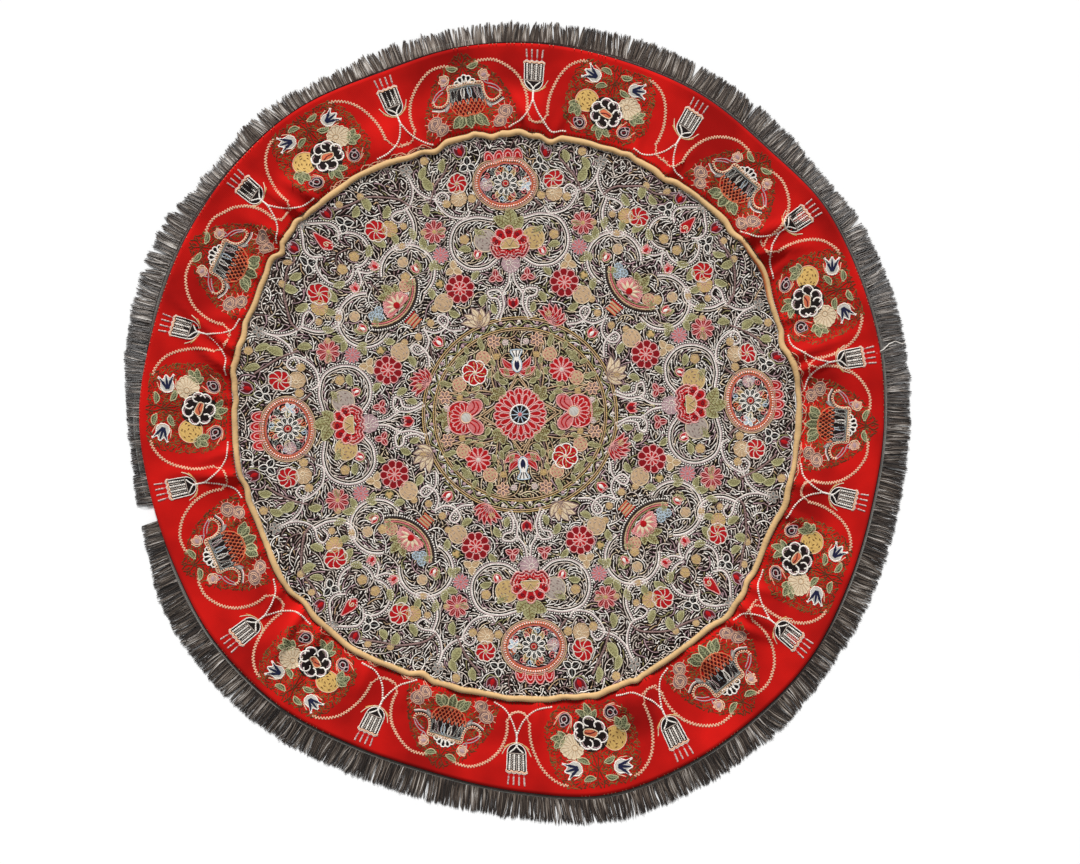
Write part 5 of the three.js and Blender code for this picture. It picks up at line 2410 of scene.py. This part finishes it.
@dataclass(frozen=True)
class Piping:
    """The padded cord along the seam, covered in ochre cloth, with painted shade low down and in its creases,
    and stitches along its red side.
    """

    lay: Lay
    stations: int = 1560
    section: int = 10
    slot: str = "ochre_piping"
    colour: Shade = (203, 165, 114)
    shadow: Shade = (150, 112, 66)
    lining: tuple[float, float] = (23, 39)
    overcast: int = 560

    FLAT = 0.92

    def build(self, material: Material, worker: Embroiderer) -> None:
        """Makes the cord and its stitches.

        Args:
            material: Finish of the covering.
            worker: Lays the stitches.
        """
        bearings = full_circle(self.stations)[:, None]
        angles = full_circle(self.section) - math.pi / 2
        across, up = np.cos(angles), np.sin(angles)
        up = np.where(up < -0.4, -self.FLAT, up)
        often = 0.3 + 0.12 * wander(bearings, 18, 5, 20)
        creased = np.random.default_rng(16).random((self.stations, 1)) < often
        crease = creased * np.clip((-across - 0.5) / 0.4, 0, 1)
        corners, faces = looped_shell(self.sections(bearings, angles, across, up, crease))
        tints = self.tints(bearings, across, up, crease).reshape(-1, 4)
        roll = dressed(shaped("piping_roll", corners, faces, tints, material), self.slot, "piping")
        self.stitches(worker)

    def sections(self, bearings: Array, angles: Array, across: Array, up: Array, crease: Array) -> Array:
        """Shapes the cord.

        Args:
            bearings: Bearing of each section, in a column.
            angles: Angles round a section.
            across: How far outwards the section's corners lie, from -1 to 1.
            up: How far up they lie, from -1 to 1.
            crease: How deeply the covering is creased at each corner.

        Returns:
            The corners of each section.
        """
        inner, outer = around(self.lay.cord_inner, bearings), around(self.lay.cord_outer, bearings)
        half = (outer - inner) / 2 * (0.92 + 0.02 * wander(bearings, 8, 60, 190))
        half = half * (1 - 0.07 * wander(bearings, 9, 7, 30))
        middle = (inner + outer) / 2 + 0.0004 * wander(bearings, 10, 25, 60)
        high = around(self.lay.cord_height, bearings) * (0.96 + 0.03 * wander(bearings, 12, 30, 120))
        radii = middle + half * across * (0.98 - 0.04 * crease)
        heights = around(self.lay.rim_lift, bearings) + high * (up + self.FLAT) / (1 + self.FLAT)
        twist = 0.00015 * np.sin(bearings * 520 + angles * 2)
        return polar(radii, bearings, heights + twist * (up > -0.4))

    def tints(self, bearings: Array, across: Array, up: Array, crease: Array) -> Array:
        """Colours the covering: painted shade low down on the cord and in its creases, with the rust lining
        showing in one place.

        Args:
            bearings: Bearing of each section, in a column.
            across: How far outwards the section's corners lie.
            up: How far up they lie.
            crease: How deeply the covering is creased at each corner.

        Returns:
            A colour for each corner.
        """
        lit, dark, rust = (np.array(linear(each)) for each in (self.colour, self.shadow, RUST.value))
        # Painted shade: the lit colour on the cord's top fades to the shadow colour low down.
        crown = np.clip((up + 0.45) / 0.7, 0, 1)[None, :, None]
        tints = dark + (lit - dark) * np.broadcast_to(crown, (self.stations, self.section, 1))
        start, end = self.lining
        shows = hump(bearing_gap(bearings, (start + end) / 2) / math.radians((end - start) / 2)) ** 0.3
        inside = np.clip((-across - 0.05) / 0.4, 0, 1)
        tints = tints + (rust - tints) * (shows * inside)[..., None]
        # Painted shade in the creases.
        return tints * (1 - 0.4 * crease)[..., None]

    def stitches(self, worker: Embroiderer) -> None:
        """Works the overcast stitches along the red side, whose dark brown also paints in the shadow they
        cast, and the loose loops on the red.

        Args:
            worker: Lays them.
        """
        needle = Needle()
        rng = np.random.default_rng(17)
        seam = BorderGround.DRAWN_SEAM
        for place in needle.turned(full_circle(self.overcast, 360)):
            # Real overcast stitches; their dark brown also stands for a painted shadow along the seam.
            needle.fine([(rng.uniform(-1.2, 1.2), seam - 0.6), (0, seam + 2.4)], BARK, 1.3, 0.2)
            if math.sin(math.radians(place) * 3) > 0.8 and rng.random() < 0.35:
                reach = rng.uniform(5, 13)
                high, low = rng.uniform(2, 7), rng.uniform(1, 5)
                loop = [(-reach, 1), (-reach * 0.3, high), (reach * 0.6, low), (reach, 0)]
                needle.run(smooth(loop) + (0, seam), PEACH, 1.0, LOOSE, 0.4)
        worker.rows("piping_stitches", self.slot, [(needle, 90)], BorderGround(self.lay, 0))


@dataclass(frozen=True)
class Border:
    """The red wool ring, its roundels, its tassels and their frames."""

    lay: Lay
    stations: int = 540
    slot: str = "scarlet_wool"
    thickness: float = 0.002
    baskets: tuple[float, ...] = (99.3, 46.4, -1.7, -52.0, -103.0, -155.3, -207.9)
    bouquets: tuple[float, ...] = (73.9, 21.6, -27.3, -77.3, -129.6, -181.2, -233.5)
    tassels: tuple[float, ...] = (
        112.1, 87.5, 59.9, 35.1, 9.75, -14.2, -39.1, -64.05, -90.4, -115.6, -141.8, -168.0, -194.6, -219.9)

    BASKET = Roundel(
        Basket(),
        ((0, 80), (10, 82), (40, 79), (65, 72), (90, 60), (115, 42), (130, 20), (140, 10), (152, 8)),
        Rickrack(((24, 124), (34, 126), (56, 123), (80, 106), (96, 82), (102, 56), (101, 36), (97, 22))), 23)
    BOUQUET = Roundel(
        Bouquet(),
        ((0, 40), (12, 55), (25, 68), (45, 77), (80, 77), (115, 72), (138, 56), (146, 20), (152, 8)),
        Rickrack(((56, 133), (66, 131), (84, 117), (96, 96), (102, 66), (101, 42), (97, 24))), 29)

    def cloth(self, material: Material) -> Object:
        """Makes the ring as a closed sheet.

        Args:
            material: Its finish.

        Returns:
            The piece.
        """
        bearings, shares = np.broadcast_arrays(full_circle(self.stations)[:, None], self.lay.SHARES[None])
        seam, edge = around(self.lay.seam, bearings), around(self.lay.edge, bearings)
        top = polar(seam + (edge - seam) * shares, bearings, self.lay.border_height(bearings, shares))
        low = np.maximum(top[..., 2] - self.lay.lip(bearings, shares) - self.thickness, 0)
        under = np.concatenate((top[..., :2], low[..., None]), -1)
        corners, faces = looped_shell(np.concatenate((under, top[:, ::-1]), 1))
        return dressed(shaped("border_cloth", corners, faces, None, material), self.slot, "border_panel")

    def build(self, material: Material, worker: Embroiderer) -> None:
        """Makes the ring and all that is worked on it.

        Args:
            material: Finish of the ring.
            worker: Lays the embroidery.
        """
        cloth, ground = self.cloth(material), BorderGround(self.lay)
        basket, bouquet = self.BASKET.worked(), self.BOUQUET.worked()
        tassels = Needle(), Needle()
        for flip, needle in enumerate(tassels):
            with needle.placed(flip=flip == 1):
                needle.add(Tassel())
        work = {
            "baskets": [(basket, bearing) for bearing in self.baskets],
            "bouquets": [(bouquet, bearing) for bearing in self.bouquets],
            "tassels": [(tassels[index % 2], bearing) for index, bearing in enumerate(self.tassels)],
        }
        worked = [worker.rows(f"border_{name}", self.slot, each, ground) for name, each in work.items()]
        worked.append(worker.satin("border_satin", self.slot, sum(work.values(), []), ground))


@dataclass(frozen=True)
class Gap:
    """The place where the two ends of the fringe and its braid don't meet."""

    bearing: float = 195
    width: float = 0.030

    def half_angle(self, radius: float) -> float:
        """Half the gap's angle at a radius, in radians."""
        return self.width / 2 / radius


@dataclass(frozen=True)
class Heading:
    """The grey braid that carries the fringe, with its ribs and the dark line beside the red."""

    lay: Lay
    gap: Gap
    stations: int = 720
    slot: str = "grey_braid"
    radius: float = 0.65
    thickness: float = 0.002
    colour: Shade = (92, 84, 79)

    SECTION = ((0, 0.0), (1, 0.0), (1, 0.8), (0.86, 1.0), (0.5, 1.0), (0.1, 0.9), (0, 0.7))
    ROWS = ((0.9, NIGHT, 1.7, CHAIN), (3.2, DOVE, 1.7, FINE), (5.4, STEEL, 1.8, FINE), (7.6, DOVE, 1.7, FINE),
            (9.8, STEEL, 1.8, FINE))

    def build(self, material: Material, worker: Embroiderer) -> Object:
        """Makes the braid and its rows.

        Args:
            material: Its finish.
            worker: Lays the rows.

        Returns:
            The braid.
        """
        half = self.gap.half_angle(self.radius)
        start = math.radians(self.gap.bearing) + half
        bearings = np.linspace(start, start + FULL_TURN - 2 * half, self.stations)[:, None]
        inner, outer = around(self.lay.heading_inner, bearings), around(self.lay.heading_outer, bearings)
        top = around(self.lay.heading_top, bearings)
        low = np.maximum(top - self.thickness, 0)
        shares, heights = np.array(self.SECTION).T
        sections = polar(inner + (outer - inner) * shares, bearings, low + (top - low) * heights)
        corners, faces = looped_shell(sections, whole=False)
        tints = np.tile(linear(self.colour), (len(corners), 1))
        braid = dressed(shaped("braid_band", corners, faces, tints, material), self.slot, "fringe_heading")
        self.rows(worker)
        return braid

    def rows(self, worker: Embroiderer) -> None:
        """Works the braid's plaited rows, the dark line by the red, and the pale stitches at the edge.

        Args:
            worker: Lays them.
        """
        needle = Needle()
        gap, edge = math.degrees(self.gap.half_angle(self.radius)), BraidGround.DRAWN_EDGE
        rest = arc(0, 0, edge, self.gap.bearing + gap + 0.1, self.gap.bearing - gap + 359.9, step=5)
        for offset, dye, width, row in self.ROWS:
            needle.run(rest + rest / edge * offset, dye, width, row, 0.2)
        rng = np.random.default_rng(31)
        for place in np.radians(np.arange(0, 360, 0.55)):
            if wander(np.array([place]), 33, 3, 9)[0] > 0.15 and rng.random() < 0.6:
                ends = np.array([[edge - 0.8], [edge + 1]])
                needle.fine(np.array([math.cos(place), math.sin(place)]) * ends, TAN, 1.1)
        worker.rows("braid_rows", self.slot, [(needle, 0)], BraidGround(self.lay))


@dataclass(frozen=True)
class Fringe:
    """The cut silk fringe: strands in wisps and locks that lean together, with short ends at their roots."""

    lay: Lay
    gap: Gap
    count: int = 9300
    root_count: int = 2700
    strand: float = 0.0012
    root_depth: float = 0.013
    slot: str = "grey_silk"
    # The silk's colours from darkest to palest; the paler end is also reached by the painted sheen.
    shades: tuple[Shade, ...] = ((26, 16, 11), (72, 57, 47), (131, 118, 106), (217, 210, 203))
    lock: float = math.radians(0.75)
    wisp: float = math.radians(0.18)

    PARTINGS = (29.5, 52.5, 63, 81, 88.5, 97, 108, 117.5, 131, 149, 158)
    WILDNESS = ((0, 0.65), (20, 0.7), (50, 0.9), (65, 0.6), (80, 1.2), (150, 1.3), (170, 0.5), (240, 0.6),
                (300, 0.75), (360, 0.65))
    # Painted sheen and tone by bearing: brighter where the strands face the light, with the tone matched
    # round the fringe.
    SHEEN_AND_TONE = ((0, -0.04), (30, -0.03), (60, 0.09), (90, 0.06), (120, 0.15), (150, 0.12), (172, -0.08),
                (185, -0.1), (210, -0.02), (240, -0.05), (270, -0.04), (300, -0.02), (330, -0.02),
                (360, -0.04))
    LOOSE_THREAD = ((9.9, -0.008), (10.3, 0.006), (11.0, 0.018), (11.2, 0.03), (10.6, 0.041), (10.9, 0.05))

    def build(self, material: Material, tree: NodeTree) -> list[Object]:
        """Makes the long strands and the short ones at their roots.

        Args:
            material: Their finish.
            tree: The tree that makes strands of lines.

        Returns:
            The pieces.
        """
        rng = np.random.default_rng(57)
        pieces = []
        kinds = (("fringe_silk", self.count, False), ("fringe_roots", self.root_count, True))
        for name, count, short in kinds:
            lines, widths, tints = self.strands(count, short, rng)
            mesh = drawn_mesh(name, lines, [False] * len(lines), {"width": widths, TINT: tints})
            pieces.append(dressed(made_by(tree, name, mesh, material), self.slot, "fringe"))
        return pieces

    def strands(self, count: int, short: bool, rng: np.random.Generator) -> tuple[list[Array], Array, Array]:
        """Draws strands all the way round, but for the gap.

        Args:
            count: How many go round.
            short: Whether they are the short ones at the roots.
            rng: Source of their unevenness.

        Returns:
            Their lines, and a width and a colour for each point.
        """
        bearings = ((np.arange(count) + rng.uniform(0, 1, count)) / count * FULL_TURN)[:, None]
        bearings = bearings[np.abs(bearing_gap(bearings[:, 0], self.gap.bearing)) > self.gap.half_angle(0.66)]
        size = bearings.shape
        facts = rng.normal(0, 1, (4, 5000))
        locks = (bearings / self.lock + 0.8 * wander(bearings, 63, 30, 90)).astype(int)
        lock, wisp = facts[:, locks], facts[:, (bearings / self.wisp).astype(int)]
        root = around(self.lay.heading_outer, bearings) - 0.004
        wild = np.interp(np.degrees(bearings) % 360, *np.array(self.WILDNESS).T)
        tip = around(self.lay.tips, bearings) + wild * (0.0014 * lock[0] + 0.0016 * wisp[2])
        tip = tip - rng.exponential(0.0022, size)
        if short:
            tip = root + self.root_depth * rng.uniform(0.75, 1.15, size)
        depth = tip - root
        lean = self.lean(bearings, wild, (locks + 0.5) * self.lock, lock[1], wisp[3], rng)
        t = np.array([0, 1.0]) if short else np.array([0, 0.3, 0.65, 1.0])
        reach = np.clip(depth / 0.045, 0, 1.2)
        bow = (0.0015 * wisp[2] + rng.normal(0, 0.0009, size)) * np.sin(np.pi * t)
        radii = root + depth * t
        turned = bearings + (lean * t**1.4 + bow) * reach**2 / radii
        # Painted highlight: some wisps shine as pale streaks, and these lie on top of the others.
        sheen_streak = np.abs(wisp[3]) > 1.1
        layer = np.clip(rng.uniform(0, 0.8, size) + 0.4 * sheen_streak, 0, 1)
        lifted = rng.random(size) < 0.03
        falling = around(self.lay.heading_top, bearings) * (1 - ease(t * depth / 0.035))
        heights = falling + 0.0006 + 0.0024 * layer * (1 - 0.4 * t)
        heights = heights + 0.004 * lifted * np.sin(np.pi * t * 0.9) * reach - (0.0008 if short else 0)
        # Painted highlight: the silk's sheen is painted into the colour, set per lock and wisp and strongest
        # near mid-length.
        gloss = np.clip(0.35 + 0.14 * lock[3], 0.05, 1) * np.clip(0.1 + 0.62 * np.abs(wisp[3]), 0, 1.5)
        gloss = gloss + 0.5 * sheen_streak
        shine = gloss * np.exp(-(((t - 0.45 - 0.22 * lock[0]) / 0.4) ** 2))
        # Painted sheen and matched tone by bearing, added to each strand's random tone and painted highlight.
        sheen_and_tone = np.interp(np.degrees(bearings) % 360, *np.array(self.SHEEN_AND_TONE).T)
        bright = (0.02 + sheen_and_tone + 0.62 * rng.random(size) ** 3.2 + 0.6 * shine) * (1.15 if short else 1)
        bright = np.clip(bright - 0.2 * ease((t - 0.5) / 0.5), 0, 1)
        shades = np.array([linear(each) for each in self.shades])
        tints = np.stack([np.interp(bright, (0, 0.3, 0.6, 1), channel) for channel in shades.T], -1)
        tints = tints.reshape(-1, 4)
        widths = np.repeat(self.strand * rng.uniform(0.75, 1.25, size), len(t))
        lines = list(polar(radii, turned, heights))
        if not short:
            lines.append(self.loose_thread())
            widths = np.concatenate((widths, np.full(len(lines[-1]), 0.0016)))
            tints = np.vstack((tints, np.tile(WHITE.tint, (len(lines[-1]), 1))))
        return lines, widths, tints

    def lean(self, bearings: Array, wild: Array, middle: Array, lock: Array, wisp: Array,
             rng: np.random.Generator) -> Array:
        """How far sideways each strand's tip lies, drawn to its lock and away from partings and the gap.

        Args:
            bearings: The strands' bearings.
            wild: How unruly the fringe is there.
            middle: Bearing of each strand's lock.
            lock: The lock's own lean.
            wisp: The wisp's own lean.
            rng: Source of their unevenness.

        Returns:
            The distances, in metres.
        """
        lean = wild * (0.006 * wander(bearings, 61, 9, 40) + 0.0016 * lock + 0.002 * wisp)
        lean = lean + 0.1 * wild * (middle - bearings) * 0.68 + rng.normal(0, 0.0008, bearings.shape)
        partings = [(self.gap.bearing, 1.6, 0.008), *((place, 1.3, 0.0075) for place in self.PARTINGS)]
        for place, spread, push in partings:
            aside = bearing_gap(bearings, place)
            lean = lean + push * np.sign(aside) * np.exp(-((aside / math.radians(spread)) ** 2))
        return lean

    def loose_thread(self) -> Array:
        """Draws the white thread that has come loose from a tassel and lies across the fringe.

        Returns:
            Its points, in metres.
        """
        bearings, beyond = np.array(self.LOOSE_THREAD).T
        bearings = np.radians(bearings)
        heights = around(self.lay.heading_top, bearings) * (1 - ease(beyond / 0.05)) + 0.0045
        return polar(around(self.lay.edge, bearings) + beyond, bearings, heights)


# ---------------------------------------------------------------- the studio


@dataclass(frozen=True)
class Studio:
    """A pale floor, soft light from the top of the table, and a camera straight above."""

    floor_side: float = 14
    floor_drop: float = 0.0004
    lens: float = 85
    camera_place: tuple[float, float, float] = (0.037, -0.029, 4.49)
    ambient: float = 0.37
    sun_strength: float = 4.4
    sun_height: float = 30
    sun_bearing: float = 97
    sun_spread: float = 13

    def build(self) -> None:
        """Makes the floor, the lights and the camera."""
        scene = bpy.context.scene
        scene.view_settings.view_transform = "Standard"
        scene.view_settings.look = "None"
        world = bpy.data.worlds.new("studio")
        world.use_nodes = True
        background = world.node_tree.nodes["Background"].inputs
        background["Color"].default_value = (1, 1, 1, 1)
        background["Strength"].default_value = self.ambient
        scene.world = world
        self.light()
        self.floor()
        camera = bpy.data.objects.new("camera", bpy.data.cameras.new("camera"))
        camera.data.lens = self.lens
        camera.location = self.camera_place
        scene.collection.objects.link(camera)
        scene.camera = camera

    def light(self) -> None:
        """Makes the broad soft light that comes from the top of the table."""
        lamp = bpy.data.lights.new("soft_light", "SUN")
        lamp.energy, lamp.angle = self.sun_strength, math.radians(self.sun_spread)
        carrier = bpy.data.objects.new("soft_light", lamp)
        carrier.rotation_euler = (math.radians(90 - self.sun_height), 0, math.radians(self.sun_bearing + 90))
        bpy.context.scene.collection.objects.link(carrier)

    def floor(self) -> None:
        """Makes the floor."""
        half = self.floor_side / 2
        corners = np.array([(-half, -half, 0), (half, -half, 0), (half, half, 0), (-half, half, 0)])
        shader = Shader("pale_floor", Roughness=0.9)
        speck = shader.node("ShaderNodeTexNoise", {"Vector": shader.place, "Scale": 3.0}).outputs["Fac"]
        tones = {0: speck, 6: (0.93, 0.93, 0.93, 1), 7: (0.96, 0.96, 0.96, 1)}
        shader.feed("Base Color", shader.node("ShaderNodeMix", tones, data_type="RGBA").outputs[2])
        shaped("floor", corners - (0, 0, self.floor_drop), [(0, 1, 2, 3)], None, shader.material)


def main() -> None:
    """Builds the cover piece by piece, and logs the triangles of each piece."""
    logging.basicConfig(level=logging.INFO, format="%(name)s %(message)s")
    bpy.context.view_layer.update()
    lay, gap = Lay(), Gap()
    weave, fibre = weave_group(), fibre_group()
    stitches, threads = stitching(), strands()
    dark_wool = Wool("dark_wool", (34, 23, 19), (22, 14, 12)).material(weave, fibre)
    red_wool = Wool("scarlet_wool", (206, 23, 17), (150, 12, 9)).material(weave, fibre)
    yarn = Spun("embroidery_yarn", 0.8, sheen=0.02, shine=0.16).material(fibre)
    filling = Spun("filling_yarn", 0.8, sheen=0.02, shine=0.16, rows=88).material(fibre)
    ochre = Spun("ochre_cloth", 0.8, grain=500, amount=0.1).material(fibre)
    braid = Spun("braid_wool", 0.8, amount=0.25).material(fibre)
    silk = Spun("grey_silk", 0.42, amount=0.2, shine=0.6).material(fibre)
    worker = Embroiderer(stitches, yarn, filling)
    CentrePanel(lay).build(dark_wool, worker)
    Piping(lay).build(ochre, worker)
    Border(lay).build(red_wool, worker)
    band = Heading(lay, gap).build(braid, worker)
    fringe = Fringe(lay, gap).build(silk, threads)
    Studio().build()


if __name__ == "__main__":
    main()
